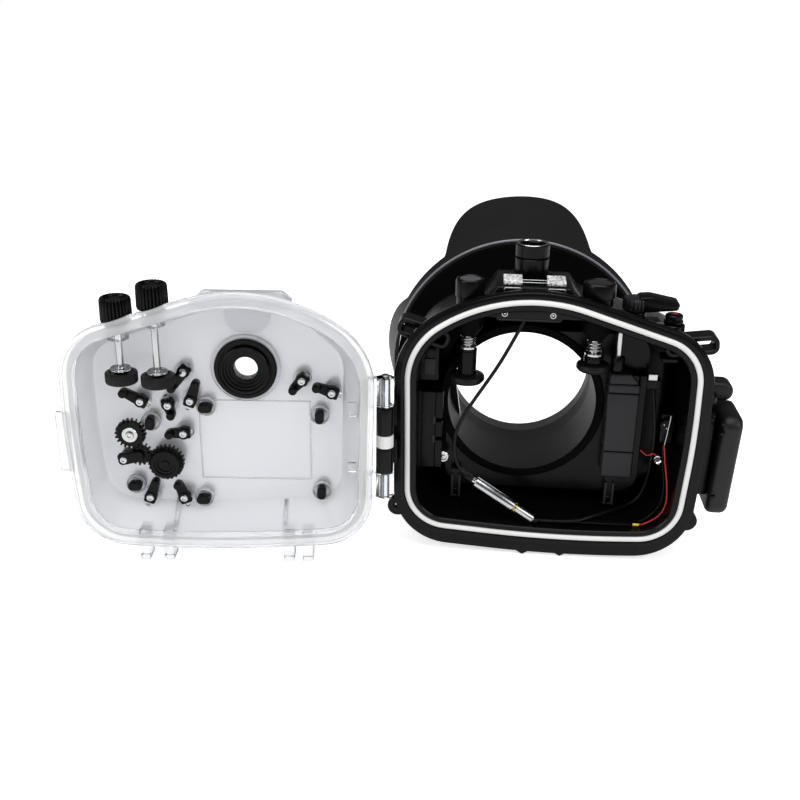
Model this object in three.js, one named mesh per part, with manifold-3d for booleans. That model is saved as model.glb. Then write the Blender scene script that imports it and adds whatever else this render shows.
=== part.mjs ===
// Underwater camera housing for a mirrorless camera, open at its hinge, in millimetres.
// The black front half carries the port, dome and petal shade. The clear back cover is swung open.
// Frame: +X to the right seen from behind, +Y towards the port, +Z up, origin under the base pad.
import * as THREE from "three";
import { mergeVertices, toCreasedNormals } from "three/addons/utils/BufferGeometryUtils.js";
import Module from "manifold-3d";

const wasm = await Module();
wasm.setup();

// Driving dimensions of the seal, which both halves follow
const SEAL_LEFT = -66.3;
const SEAL_LEFT_LOW = -64.4;
const SEAL_RIGHT = 95.5;
const SEAL_RIGHT_LOW = 92.5;
const SEAL_RIGHT_SWELL = 96.6;
const SEAL_SWELL_Z = -4.7;
const SEAL_BOTTOM = -72.4;
const SEAL_BOTTOM_X = 26;
const SEAL_BOTTOM_LEFT = -66.1;
const SEAL_BOTTOM_RIGHT = -68.3;
const SEAL_SHOULDER_LEFT = 43.8;
const SEAL_SHOULDER_RIGHT = 47.2;
const SEAL_PEAK_X = -11.4;
const SEAL_PEAK_Z = 81.4;
const CORNER_LOW = 24;
const CORNER_RIGHT = 26;
const CORNER_LEFT = 39;
const CORNER_PEAK = 93;
const SWELL_R = 500;
const SAG_R = 690;
const SEAL_SECTION = 3.2;
const SEAL_HEIGHT = 85;
const GAP = 0.3;
const OVERRUN = 1;

// Front body
const RIM_FACE_OUT = 5;
const RIM_STEP_Y = 3.4;
const FLANGE_OUT = 8;
const FLANGE_DEPTH = 11;
const FLANGE_EDGE = 1;
const WALL_OUT = 2.5;
const BODY_DEPTH = 66;
const BODY_TAPER = 2;
const BODY_NOSE = 9;
const NOSE_RUN = 9;
const CAVITY_IN = 5;
const CAVITY_TAPER = 2;
const FRONT_WALL = 4;
const PAD_LENGTH = 44;
const PAD_WIDTH = 74;
const PAD_Y = 40;
const PAD_CORNER = 6;
const RIB_THICK = 3;

// Port
const PORT_Z = 1.2;
const BORE_R = 44.3;
const COLLAR_R = 48.5;
const COLLAR_Y = 31;
const TUBE_R = 50;
const PORT_RING_R = 56;
const PORT_RING_LENGTH = 7;
const DISC_R = 79.4;
const DISC_THICK = 7;
const DISC_Y = 105;
const FRONT_RING_LENGTH = 17;
const FRONT_RING_WALL = 2.2;
const DOME_EDGE = 4.4;
const DOME_BASE_R = DISC_R - DOME_EDGE;
const DOME_R = 78;
const DOME_WALL = 3.5;
const SHADE_WALL = 2.8;
const SHADE_SLOPE = 0.19;
const SHADE_VALLEY = 2;
const SHADE_TOP = 68;
const SHADE_SIDE = 39;
const SHADE_BOTTOM = 10;
const SHADE_TOP_HALF_ANGLE = 33.5;
const SHADE_SIDE_HALF_ANGLE = 33;
const SHADE_TOP_TURN = -4;
const SHADE_TOP_POWER = 4.5;
const SHADE_SIDE_POWER = 2;
const SHADE_STEPS = 72;

// Colours and surfaces
const BLACK = 0x141415;
const SOFT_BLACK = 0x1c1c1e;
const CLEAR = 0xe6ebee;
const WHITE = 0xf2f2f0;
const GREY = 0x6f7276;
const STEEL = 0xb9bdc2;
const RED = 0xb01818;

// Shapes and operations
const round = (degrees) => THREE.MathUtils.degToRad(degrees);
const arc = (cx, cy, r, from, to, count) =>
  Array.from({ length: count + 1 }, (_, i) => {
    const angle = round(from + ((to - from) * i) / count);
    return new THREE.Vector2(cx + r * Math.cos(angle), cy + r * Math.sin(angle));
  });

const bare = (geometry) => {
  const copy = geometry.clone();
  copy.deleteAttribute("normal");
  copy.deleteAttribute("uv");
  return mergeVertices(copy, 1e-4);
};

const solid = (geometry) => {
  if (geometry instanceof wasm.Manifold) return geometry;
  const merged = bare(geometry);
  const triVerts = new Uint32Array(merged.index.array);
  const vertProperties = new Float32Array(merged.attributes.position.array);
  return new wasm.Manifold(new wasm.Mesh({ numProp: 3, vertProperties, triVerts }));
};

const shape3d = (manifold) => {
  const mesh = manifold.getMesh();
  const geometry = new THREE.BufferGeometry();
  geometry.setAttribute("position", new THREE.BufferAttribute(new Float32Array(mesh.vertProperties), 3));
  geometry.setIndex(new THREE.BufferAttribute(new Uint32Array(mesh.triVerts), 1));
  return toCreasedNormals(geometry, round(35));
};

const joined = (...parts) => parts.map(solid).reduce((all, next) => all.add(next));
const trimmed = (base, ...tools) => tools.map(solid).reduce((all, next) => all.subtract(next), solid(base));
const join = (...parts) => shape3d(joined(...parts));
const cut = (base, ...tools) => shape3d(trimmed(base, ...tools));

// An outline drawn in X and Z, run along Y from y0 to y1
const alongY = (shape, y0, y1, curveSegments = 8) => {
  const geometry = new THREE.ExtrudeGeometry(shape, { depth: y1 - y0, bevelEnabled: false, curveSegments });
  return geometry.rotateX(round(90)).translate(0, y1, 0);
};
// An outline drawn in X and Y, run along Z
const alongZ = (shape, z0, z1, curveSegments = 8) => {
  const geometry = new THREE.ExtrudeGeometry(shape, { depth: z1 - z0, bevelEnabled: false, curveSegments });
  return geometry.translate(0, 0, z0);
};
// An outline drawn in Y and Z, run along X
const alongX = (shape, x0, x1, curveSegments = 8) => {
  const geometry = new THREE.ExtrudeGeometry(shape, { depth: x1 - x0, bevelEnabled: false, curveSegments });
  return geometry.rotateX(round(90)).rotateZ(round(90)).translate(x0, 0, 0);
};

const loop = (points) => new THREE.Shape(points.map(([x, y]) => new THREE.Vector2(x, y)));
const pill = (x0, y0, x1, y1, r) => {
  const shape = new THREE.Shape();
  shape.absarc(x1 - r, y0 + r, r, round(-90), 0, false);
  shape.absarc(x1 - r, y1 - r, r, 0, round(90), false);
  shape.absarc(x0 + r, y1 - r, r, round(90), round(180), false);
  shape.absarc(x0 + r, y0 + r, r, round(180), round(270), false);
  shape.closePath();
  return shape;
};
// The stadium outline that wraps two round ends
const slot = (x0, y0, x1, y1, r) => {
  const heading = Math.atan2(y1 - y0, x1 - x0);
  const shape = new THREE.Shape();
  shape.absarc(x1, y1, r, heading - Math.PI / 2, heading + Math.PI / 2, false);
  shape.absarc(x0, y0, r, heading + Math.PI / 2, heading + (3 * Math.PI) / 2, false);
  shape.closePath();
  return shape;
};
const disc = (r) => {
  const shape = new THREE.Shape();
  shape.absarc(0, 0, r, 0, 2 * Math.PI, false);
  return shape;
};
const box = (x0, x1, y0, y1, z0, z1) =>
  new THREE.BoxGeometry(x1 - x0, y1 - y0, z1 - z0).translate((x0 + x1) / 2, (y0 + y1) / 2, (z0 + z1) / 2);

// A profile of radius and height, turned about Z; a ring's profile closes on itself
const turned = (profile, segments = 24) => {
  const points = profile.map(([r, h]) => new THREE.Vector2(r, h));
  const closed = points[0].x > 0 && points.at(-1).x > 0;
  if (closed) points.push(points[0].clone());
  if (THREE.ShapeUtils.area(points) < 0) points.reverse();
  return new THREE.LatheGeometry(points, segments).rotateX(round(90));
};
const towardY = (geometry) => geometry.rotateX(round(-90));
const cylinder = (r, z0, z1, segments = 24) => turned([[0, z0], [r, z0], [r, z1], [0, z1]], segments);
const pinY = (r, x, z, y0, y1, segments = 20) => towardY(cylinder(r, y0, y1, segments)).translate(x, 0, z);
const at = (geometry, x, y, z) => geometry.clone().translate(x, y, z);

// A turned handle's outline with straight flutes round it
const fluted = (r, depth, count, z0, z1) => {
  const steps = count * 2;
  const points = Array.from({ length: steps }, (_, i) => {
    const reach = i % 2 < 1 ? r : r - depth;
    const angle = (2 * Math.PI * i) / steps;
    return [reach * Math.cos(angle), reach * Math.sin(angle)];
  });
  return alongZ(loop(points), z0, z1);
};

// The rounded outline of the seal, moved out by an offset: each corner is a place, a radius and its facets
const SEAL_CORNERS = [
  [SEAL_LEFT_LOW, SEAL_BOTTOM_LEFT, CORNER_LOW],
  [SEAL_BOTTOM_X, SEAL_BOTTOM, SAG_R, 1],
  [SEAL_RIGHT_LOW, SEAL_BOTTOM_RIGHT, CORNER_LOW],
  [SEAL_RIGHT_SWELL, SEAL_SWELL_Z, SWELL_R, 1],
  [SEAL_RIGHT, SEAL_SHOULDER_RIGHT, CORNER_RIGHT],
  [SEAL_PEAK_X, SEAL_PEAK_Z, CORNER_PEAK],
  [SEAL_LEFT, SEAL_SHOULDER_LEFT, CORNER_LEFT],
];
const CORNER_SEGMENTS = 5;
const outline = (offset, corners = SEAL_CORNERS) => {
  const count = corners.length;
  const edge = (i) => {
    const [ax, az] = corners[i];
    const [bx, bz] = corners[(i + 1) % count];
    const along = new THREE.Vector2(bx - ax, bz - az).normalize();
    return { along, out: new THREE.Vector2(along.y, -along.x) };
  };
  const points = [];
  for (let i = 0; i < count; i += 1) {
    const before = edge((i + count - 1) % count);
    const after = edge(i);
    const turn = Math.acos(THREE.MathUtils.clamp(before.along.dot(after.along), -1, 1));
    const [x, z, r, segments = CORNER_SEGMENTS] = corners[i];
    const reach = r + offset;
    const inward = before.out.clone().add(after.out).normalize();
    const centre = new THREE.Vector2(x, z).addScaledVector(inward, -r / Math.cos(turn / 2));
    const start = Math.atan2(before.out.y, before.out.x);
    for (let k = 0; k <= segments; k += 1) {
      const angle = start + (turn * k) / segments;
      points.push(new THREE.Vector2(centre.x + reach * Math.cos(angle), centre.y + reach * Math.sin(angle)));
    }
  }
  return points;
};

// A closed skin through rings of equal point counts, each a list of 3-D points
const pointsOf = (rings) => new THREE.Float32BufferAttribute(rings.flat().flatMap((p) => [p.x, p.y, p.z]), 3);
const loft = (rings) => {
  const count = rings[0].length;
  const index = [];
  for (let r = 0; r + 1 < rings.length; r += 1)
    for (let i = 0; i < count; i += 1) {
      const j = (i + 1) % count;
      const low = r * count;
      const high = low + count;
      index.push(low + i, high + j, low + j, low + i, high + i, high + j);
    }
  const cap = (ring, flip) => {
    const start = ring * count;
    const flat = rings[ring].map((p) => new THREE.Vector2(p.x, p.z));
    for (const [a, b, c] of THREE.ShapeUtils.triangulateShape(flat, []))
      index.push(...(flip ? [start + a, start + c, start + b] : [start + a, start + b, start + c]));
  };
  cap(0, false);
  cap(rings.length - 1, true);
  const geometry = new THREE.BufferGeometry();
  geometry.setAttribute("position", pointsOf(rings));
  geometry.setIndex(index);
  return geometry;
};
const shell = (stations, corners = SEAL_CORNERS) =>
  loft(stations.map(([offset, y]) => outline(offset, corners).map((p) => new THREE.Vector3(p.x, y, p.y))));

// The scene graph and its nodes
const root = new THREE.Group();
const housing = new THREE.Group();
housing.position.set(0, -PAD_Y, SEAL_HEIGHT);
root.add(housing);

const material = (color, roughness = 0.5, metalness = 0, opacity = 1) =>
  new THREE.MeshStandardMaterial({ color, roughness, metalness, opacity, transparent: opacity < 1 });
const add = (name, geometry, look, parent = housing) => {
  const mesh = new THREE.Mesh(geometry, look);
  mesh.name = name;
  parent.add(mesh);
  return mesh;
};
const blackCoat = () => material(BLACK, 0.45, 0.3);
const blackPlastic = () => material(SOFT_BLACK, 0.4);
const clearPlastic = () => material(CLEAR, 0.15, 0, 0.35);
const steel = () => material(STEEL, 0.3, 0.9);

// Front body: cast shell, port collar, seal groove, top platform, hinge arms, lugs and base pad
const PLATFORM_LEFT = -18;
const PLATFORM_RIGHT = 23;
const PLATFORM_TOP = 78;
const PLATFORM_FOOT = 60;
const PLATFORM_FLARE = 14;
const PLATFORM_Y0 = 8.5;
const PLATFORM_Y1 = 46;
const HINGE_X = -77.3;
const HINGE_Y = -10;
const KNUCKLE_R = 5;
const KNUCKLE_TOP = 29;
const KNUCKLE_HIGH = 12;
const WASHER_TOP = -5;
const WASHER_LOW = -13;
const KNUCKLE_LOW = -29;
const KNUCKLE_END = -44;
const HINGE_PIN_R = 2;
const PIN_CLEAR = 0.25;
const ARM_THICK = 5;
const ARM_REACH = 8;
const LUG_THICK = 5;
const LUG_R = 7;
const LUG_WALL = 3.4;
const LUG_Y = 17;
const EAR_R = 6;
const EAR_THICK = 6;
const EAR_Z = -57;
const VALVE_X = 1;
const VALVE_Y = 33;
const SCREW_BLOCK_REACH = 18;
const SCREW_BLOCK_DEPTH = 9;
const SCREW_BLOCK_Z = 61;

const cavityEnd = BODY_DEPTH - FRONT_WALL;
const padTop = SEAL_BOTTOM + CAVITY_IN;
const outside = shell([
  [RIM_FACE_OUT, 0],
  [RIM_FACE_OUT, RIM_STEP_Y],
  [FLANGE_OUT - FLANGE_EDGE, RIM_STEP_Y],
  [FLANGE_OUT, RIM_STEP_Y + FLANGE_EDGE],
  [FLANGE_OUT, FLANGE_DEPTH - FLANGE_EDGE],
  [FLANGE_OUT - FLANGE_EDGE, FLANGE_DEPTH],
  [WALL_OUT, FLANGE_DEPTH],
  [WALL_OUT - BODY_TAPER, BODY_DEPTH - NOSE_RUN],
  [WALL_OUT - BODY_NOSE / 2, BODY_DEPTH - NOSE_RUN / 3],
  [WALL_OUT - BODY_NOSE, BODY_DEPTH],
]);
const inside = shell([
  [-CAVITY_IN, -OVERRUN],
  [-CAVITY_IN, FLANGE_DEPTH],
  [-CAVITY_IN - CAVITY_TAPER, cavityEnd],
]);
const GROOVE_HALF = SEAL_SECTION / 2 + GAP;
const GROOVE_FLOOR = 2.6;
const groove = cut(
  shell([[GROOVE_HALF, -OVERRUN], [GROOVE_HALF, GROOVE_FLOOR]]),
  shell([[-GROOVE_HALF, -OVERRUN * 2], [-GROOVE_HALF, GROOVE_FLOOR + OVERRUN]]),
);
const platform = alongY(
  loop([
    [PLATFORM_LEFT - PLATFORM_FLARE, PLATFORM_FOOT],
    [PLATFORM_RIGHT + PLATFORM_FLARE, PLATFORM_FOOT],
    [PLATFORM_RIGHT, PLATFORM_TOP],
    [PLATFORM_LEFT, PLATFORM_TOP],
  ]),
  PLATFORM_Y0,
  PLATFORM_Y1,
);
const basePad = alongZ(
  pill(-PAD_WIDTH / 2, PAD_Y - PAD_LENGTH / 2, PAD_WIDTH / 2, PAD_Y + PAD_LENGTH / 2, PAD_CORNER),
  -SEAL_HEIGHT,
  padTop,
);
const strapLug = (x0, z0, x1, z1) => alongY(slot(x0, z0, x1, z1, LUG_R), LUG_Y, LUG_Y + LUG_THICK);
const strapHole = (x0, z0, x1, z1) =>
  alongY(slot(x0, z0, x1, z1, LUG_R - LUG_WALL), LUG_Y - OVERRUN, LUG_Y + LUG_THICK + OVERRUN);
const flankEar = (x, z) => alongY(disc(EAR_R), RIM_STEP_Y, RIM_STEP_Y + EAR_THICK).translate(x, 0, z);
const armOutline = (near) =>
  loop([
    [HINGE_X - KNUCKLE_R, HINGE_Y],
    [HINGE_X - KNUCKLE_R, near],
    [HINGE_X + ARM_REACH, near],
    [HINGE_X + ARM_REACH, OVERRUN],
    [HINGE_X - KNUCKLE_R + ARM_THICK, OVERRUN],
    [HINGE_X - KNUCKLE_R + ARM_THICK, HINGE_Y],
  ]);
const knuckle = (z0, z1) => at(cylinder(KNUCKLE_R, z0, z1, 18), HINGE_X, HINGE_Y, 0);
const knuckleBore = at(
  cylinder(HINGE_PIN_R + PIN_CLEAR, KNUCKLE_END - OVERRUN, KNUCKLE_TOP + OVERRUN),
  HINGE_X,
  HINGE_Y,
  0,
);
const bodyKnuckles = [
  [WASHER_TOP, KNUCKLE_HIGH - GAP],
  [KNUCKLE_LOW + GAP, WASHER_LOW],
];
const hingeParts = bodyKnuckles.flatMap(([z0, z1]) => [
  knuckle(z0, z1),
  alongZ(armOutline(FLANGE_DEPTH - FLANGE_EDGE), z0, z1),
]);
const screwBlock = box(
  -SCREW_BLOCK_REACH,
  SCREW_BLOCK_REACH,
  FLANGE_DEPTH,
  FLANGE_DEPTH + SCREW_BLOCK_DEPTH,
  SCREW_BLOCK_Z,
  PLATFORM_TOP - LUG_THICK,
);
const LUG_LEFT = [-66, 51, -50, 46];
const LUG_RIGHT = [100, 48, 84, 46];
const lugHole = ([x0, z0], reach) => strapHole(x0, z0, x0 + reach, z0);
const bodyOutside = join(
  outside,
  platform,
  basePad,
  strapLug(...LUG_LEFT),
  strapLug(...LUG_RIGHT),
  flankEar(SEAL_LEFT_LOW - EAR_R, EAR_Z),
  flankEar(SEAL_RIGHT_LOW + EAR_R, EAR_Z),
  pinY(PORT_RING_R, 0, PORT_Z, BODY_DEPTH - NOSE_RUN, BODY_DEPTH + RIB_THICK, 36),
  ...hingeParts,
);
const boreCut = pinY(BORE_R, 0, PORT_Z, COLLAR_Y - OVERRUN, BODY_DEPTH + RIB_THICK + OVERRUN, 36);
const collarProfile = [
  [BORE_R, COLLAR_Y],
  [COLLAR_R, COLLAR_Y],
  [COLLAR_R, cavityEnd - GAP],
  [BORE_R, cavityEnd - GAP],
];
add("port_collar", at(towardY(turned(collarProfile, 36)), 0, 0, PORT_Z), blackCoat());

// White seal ring in its groove
const sealPath = outline(0);
const sealRing = () => {
  const sides = 6;
  const count = sealPath.length;
  const centreY = GROOVE_FLOOR - GAP - SEAL_SECTION / 2;
  const positions = [];
  const index = [];
  for (let i = 0; i < count; i += 1)
    for (let k = 0; k < sides; k += 1) {
      const angle = (2 * Math.PI * k) / sides;
      const out = outline((SEAL_SECTION / 2) * Math.cos(angle))[i];
      positions.push(out.x, centreY + (SEAL_SECTION / 2) * Math.sin(angle), out.y);
    }
  for (let i = 0; i < count; i += 1)
    for (let k = 0; k < sides; k += 1) {
      const a = i * sides + k;
      const b = i * sides + ((k + 1) % sides);
      const c = ((i + 1) % count) * sides + k;
      const d = ((i + 1) % count) * sides + ((k + 1) % sides);
      index.push(a, b, d, a, d, c);
    }
  const geometry = new THREE.BufferGeometry();
  geometry.setAttribute("position", new THREE.Float32BufferAttribute(positions, 3));
  geometry.setIndex(index);
  return geometry;
};
add("seal_ring", toCreasedNormals(sealRing(), round(60)), material(WHITE, 0.4));

// Port: tube with its back plate, grey front ring, dome and petal shade
const tubeStart = BODY_DEPTH + RIB_THICK + GAP;
const discBack = DISC_Y - DISC_THICK;
const frontRingY = DISC_Y - FRONT_RING_LENGTH;
const portBase = turned(
  [
    [BORE_R, tubeStart],
    [PORT_RING_R, tubeStart],
    [PORT_RING_R, tubeStart + PORT_RING_LENGTH],
    [TUBE_R, tubeStart + PORT_RING_LENGTH + RIB_THICK],
    [TUBE_R, discBack - RIB_THICK],
    [TUBE_R + RIB_THICK, discBack],
    [DISC_R - FLANGE_EDGE, discBack],
    [DISC_R, discBack + FLANGE_EDGE],
    [DISC_R, DISC_Y],
    [BORE_R + FRONT_RING_WALL + GAP, DISC_Y],
    [BORE_R + FRONT_RING_WALL + GAP, frontRingY],
    [BORE_R, frontRingY],
  ],
  36,
);
add("port_base", at(towardY(portBase), 0, 0, PORT_Z), blackCoat());
const frontRing = turned(
  [
    [BORE_R + GAP, frontRingY + GAP],
    [BORE_R + FRONT_RING_WALL, frontRingY + GAP],
    [BORE_R + FRONT_RING_WALL, DISC_Y],
    [BORE_R + GAP, DISC_Y],
  ],
  36,
);
add("port_front_ring", at(towardY(frontRing), 0, 0, PORT_Z), material(GREY, 0.5, 0.4));

const domeStart = DISC_Y + GAP;
const domeProfile = () => {
  const centre = domeStart - Math.sqrt(DOME_R ** 2 - DOME_BASE_R ** 2);
  const skin = (r, steps) => {
    const start = Math.asin((domeStart - centre) / r);
    return Array.from({ length: steps + 1 }, (_, i) => {
      const angle = start + ((Math.PI / 2 - start) * i) / steps;
      return [Math.max(0, r * Math.cos(angle)), centre + r * Math.sin(angle)];
    });
  };
  return [...skin(DOME_R, 6), ...skin(DOME_R - DOME_WALL, 6).reverse()];
};
add("dome", at(towardY(turned(domeProfile(), 28)), 0, 0, PORT_Z), clearPlastic());

// Length of the shade past the back plate at an angle from straight up, with its petals
const petal = (turn, centre, half, power, length) => {
  const share = Math.abs(((((turn - centre) % 360) + 540) % 360) - 180) / half;
  return share < 1 ? (length - SHADE_VALLEY) * (1 - share ** power) : 0;
};
const shadeLength = (turn) =>
  SHADE_VALLEY +
  petal(turn, SHADE_TOP_TURN, SHADE_TOP_HALF_ANGLE, SHADE_TOP_POWER, SHADE_TOP) +
  petal(turn, 90, SHADE_SIDE_HALF_ANGLE, SHADE_SIDE_POWER, SHADE_SIDE) +
  petal(turn, -90, SHADE_SIDE_HALF_ANGLE, SHADE_SIDE_POWER, SHADE_SIDE) +
  petal(turn, 180, SHADE_TOP_HALF_ANGLE, SHADE_TOP_POWER, SHADE_BOTTOM);
const petalShade = () => {
  const hoopY = DISC_Y - DISC_THICK;
  const innerR = DISC_R + GAP;
  const stations = (reach) => [
    [innerR, hoopY],
    [innerR, DISC_Y],
    [innerR + (reach / 2) * SHADE_SLOPE, DISC_Y + reach / 2],
    [innerR + reach * SHADE_SLOPE, DISC_Y + reach],
    [innerR + reach * SHADE_SLOPE + SHADE_WALL, DISC_Y + reach],
    [innerR + (reach / 2) * SHADE_SLOPE + SHADE_WALL, DISC_Y + reach / 2],
    [innerR + SHADE_WALL, DISC_Y],
    [innerR + SHADE_WALL, hoopY],
  ];
  const rings = Array.from({ length: SHADE_STEPS }, (_, i) => {
    const turn = (360 * i) / SHADE_STEPS;
    return stations(shadeLength(turn)).map(
      ([r, y]) => new THREE.Vector3(r * Math.sin(round(turn)), y, PORT_Z + r * Math.cos(round(turn))),
    );
  });
  const side = rings[0].length;
  const index = [];
  for (let i = 0; i < SHADE_STEPS; i += 1)
    for (let k = 0; k < side; k += 1) {
      const a = i * side + k;
      const b = i * side + ((k + 1) % side);
      const c = ((i + 1) % SHADE_STEPS) * side + k;
      const d = ((i + 1) % SHADE_STEPS) * side + ((k + 1) % side);
      index.push(a, b, d, a, d, c);
    }
  const geometry = new THREE.BufferGeometry();
  geometry.setAttribute("position", pointsOf(rings));
  geometry.setIndex(index);
  return toCreasedNormals(geometry, round(40));
};
add("petal_shade", petalShade(), blackPlastic());

// Hinge pin and the washer between the black knuckles
const PIN_HEAD = 1.5;
const hingePin = cylinder(HINGE_PIN_R, KNUCKLE_END - PIN_HEAD, KNUCKLE_TOP + PIN_HEAD, 16);
add("hinge_pin", at(hingePin, HINGE_X, HINGE_Y, 0), steel());
const washerOutline = disc(KNUCKLE_R);
washerOutline.holes.push(disc(HINGE_PIN_R + PIN_CLEAR));
const washer = alongZ(washerOutline, WASHER_LOW + GAP, WASHER_TOP - GAP);
add("hinge_washer", at(washer, HINGE_X, HINGE_Y, 0), material(WHITE, 0.5));

// Clear back cover, drawn closed on the body and swung open about the hinge
const COVER_OPEN = 175.3;
const RIM_OUT = 5.5;
const RIM_IN = 2.5;
const RIM_DEPTH = 6;
const COVER_WALL = 3.5;
const COVER_WALL_OUT = 2;
const COVER_DEPTH = 27;
const FLOOR_LEFT = 12;
const FLOOR_RIGHT = 7;
const FLOOR_BOTTOM = 14;
const FLOOR_TOP = 7;
const FLOOR_CORNER = 18;
const FLOOR_PEAK = 60;
const FLOOR_SAG = 300;
const HUMP_LEFT = -20;
const HUMP_RIGHT = 24;
const HUMP_TOP = 78;
const HUMP_FOOT = 62;
const HUMP_FLARE = 9;
const TAB_TOP = 8;
const TAB_LOW = -28;
const TAB_REACH = 109.5;
const TAB_ROOT = 98;
const TAB_THICK = 4;
const FOOT_WIDTH = 6;
const FOOT_DEPTH = 9;
const FOOT_TOP = -64;
const FOOT_X = [-36, -25, 45, 59];
const SCREEN_X = [-34.5, 30.2];
const SCREEN_Z = [-41.4, 8.7];
const SCREEN_LINE = 1.3;
const SCREEN_RAISE = 0.8;
const SCREEN_CORNER = 2;
const COVER_ARM_REACH = 13;
const COVER_ARM_HALF = 3;

const swing = new THREE.Group();
swing.position.set(HINGE_X, HINGE_Y, 0);
swing.rotation.z = -round(COVER_OPEN);
housing.add(swing);
const cover = new THREE.Group();
cover.position.set(-HINGE_X, -HINGE_Y, 0);
swing.add(cover);

const FLOOR_CORNERS = [
  [SEAL_LEFT_LOW + FLOOR_LEFT, SEAL_BOTTOM_LEFT + FLOOR_BOTTOM, FLOOR_CORNER],
  [SEAL_BOTTOM_X, SEAL_BOTTOM + FLOOR_BOTTOM, FLOOR_SAG, 1],
  [SEAL_RIGHT_LOW - FLOOR_RIGHT, SEAL_BOTTOM_RIGHT + FLOOR_BOTTOM, FLOOR_CORNER],
  [SEAL_RIGHT_SWELL - FLOOR_RIGHT, SEAL_SWELL_Z, SWELL_R, 1],
  [SEAL_RIGHT - FLOOR_RIGHT, SEAL_SHOULDER_RIGHT - FLOOR_TOP, FLOOR_CORNER],
  [SEAL_PEAK_X, SEAL_PEAK_Z - FLOOR_TOP, FLOOR_PEAK],
  [SEAL_LEFT + FLOOR_LEFT, SEAL_SHOULDER_LEFT - FLOOR_TOP, FLOOR_CORNER],
];
const station = (corners, offset, y) => outline(offset, corners).map((p) => new THREE.Vector3(p.x, y, p.y));
const rimY = GROOVE_FLOOR - GAP - SEAL_SECTION - GAP;
const rimBack = rimY - RIM_DEPTH;
const floorY = -COVER_DEPTH + COVER_WALL;
const coverOutside = loft([
  station(FLOOR_CORNERS, COVER_WALL - FLANGE_EDGE, -COVER_DEPTH),
  station(FLOOR_CORNERS, COVER_WALL, -COVER_DEPTH + FLANGE_EDGE),
  station(SEAL_CORNERS, COVER_WALL_OUT, rimBack - FLANGE_EDGE),
  station(SEAL_CORNERS, RIM_OUT, rimBack),
  station(SEAL_CORNERS, RIM_OUT, rimY - FLANGE_EDGE / 2),
  station(SEAL_CORNERS, RIM_OUT - FLANGE_EDGE / 2, rimY),
]);
const coverInside = loft([
  station(FLOOR_CORNERS, 0, floorY),
  station(SEAL_CORNERS, -RIM_IN, rimBack),
  station(SEAL_CORNERS, -RIM_IN, rimY + OVERRUN),
]);
const humpShape = (inset) =>
  loop([
    [HUMP_LEFT - HUMP_FLARE + inset, HUMP_FOOT - inset],
    [HUMP_RIGHT + HUMP_FLARE - inset, HUMP_FOOT - inset],
    [HUMP_RIGHT - inset, HUMP_TOP - inset],
    [HUMP_LEFT + inset, HUMP_TOP - inset],
  ]);
const hump = alongY(humpShape(0), -COVER_DEPTH + FLANGE_EDGE, rimBack + FLANGE_EDGE);
const humpInside = alongY(humpShape(COVER_WALL), floorY, rimBack - COVER_WALL);
const coverKnuckles = [
  [KNUCKLE_HIGH, KNUCKLE_TOP],
  [KNUCKLE_END, KNUCKLE_LOW],
];
const coverHingeParts = coverKnuckles.flatMap(([z0, z1]) => [
  knuckle(z0, z1),
  box(HINGE_X, HINGE_X + COVER_ARM_REACH, HINGE_Y - COVER_ARM_HALF, HINGE_Y + COVER_ARM_HALF, z0, z1),
]);
const coverFeet = FOOT_X.map((x) =>
  box(x, x + FOOT_WIDTH, rimBack - FOOT_DEPTH, rimY - FLANGE_EDGE, -SEAL_HEIGHT, FOOT_TOP),
);
const tab = alongX(
  pill(rimY - FLANGE_EDGE / 2 - TAB_THICK, TAB_LOW, rimY - FLANGE_EDGE / 2, TAB_TOP, TAB_THICK / 4),
  TAB_ROOT,
  TAB_REACH,
  3,
);
// Ribs up the tray's lower and free walls, and two flat tabs on the wall by the hinge
const TRAY_RIB = 2.5;
const TRAY_RIB_RISE = 3;
const LOWER_RIB_X = [43.2, -20.6];
const SIDE_RIB_Z = [-40, 13.5];
const HINGE_TAB_Z = [[6, 14.3], [-28.4, -22.8]];
const HINGE_TAB_REACH = 9;
const lowerRib = (x) => {
  const low = SEAL_BOTTOM + RIM_IN + GAP;
  const high = SEAL_BOTTOM + FLOOR_BOTTOM;
  const side = [
    [rimBack, low],
    [floorY - OVERRUN, high],
    [floorY - OVERRUN, high + TRAY_RIB_RISE * 2],
    [rimBack - TRAY_RIB_RISE, low + TRAY_RIB_RISE],
  ];
  return alongX(loop(side), x, x + TRAY_RIB);
};
const sideRib = (z) => {
  const far = SEAL_RIGHT_LOW - RIM_IN;
  const near = SEAL_RIGHT_LOW - FLOOR_RIGHT;
  const side = [
    [far, rimBack],
    [far - TRAY_RIB_RISE, rimBack - TRAY_RIB_RISE],
    [near - TRAY_RIB_RISE, floorY - OVERRUN],
    [near, floorY - OVERRUN],
  ];
  return alongZ(loop(side), z, z + TRAY_RIB);
};
const hingeTab = ([z0, z1]) =>
  box(SEAL_LEFT + OVERRUN, SEAL_LEFT + OVERRUN + HINGE_TAB_REACH, rimBack - TRAY_RIB, rimBack, z0, z1);
const trayRibs = [...LOWER_RIB_X.map(lowerRib), ...SIDE_RIB_Z.map(sideRib), ...HINGE_TAB_Z.map(hingeTab)];
const screenFrame = () => {
  const [x0, x1] = SCREEN_X;
  const [z0, z1] = SCREEN_Z;
  const outer = pill(x0, z0, x1, z1, SCREEN_CORNER);
  const inset = SCREEN_LINE;
  outer.holes.push(pill(x0 + inset, z0 + inset, x1 - inset, z1 - inset, SCREEN_CORNER - inset / 2));
  return alongY(outer, floorY - OVERRUN, floorY + SCREEN_RAISE, 3);
};

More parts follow.
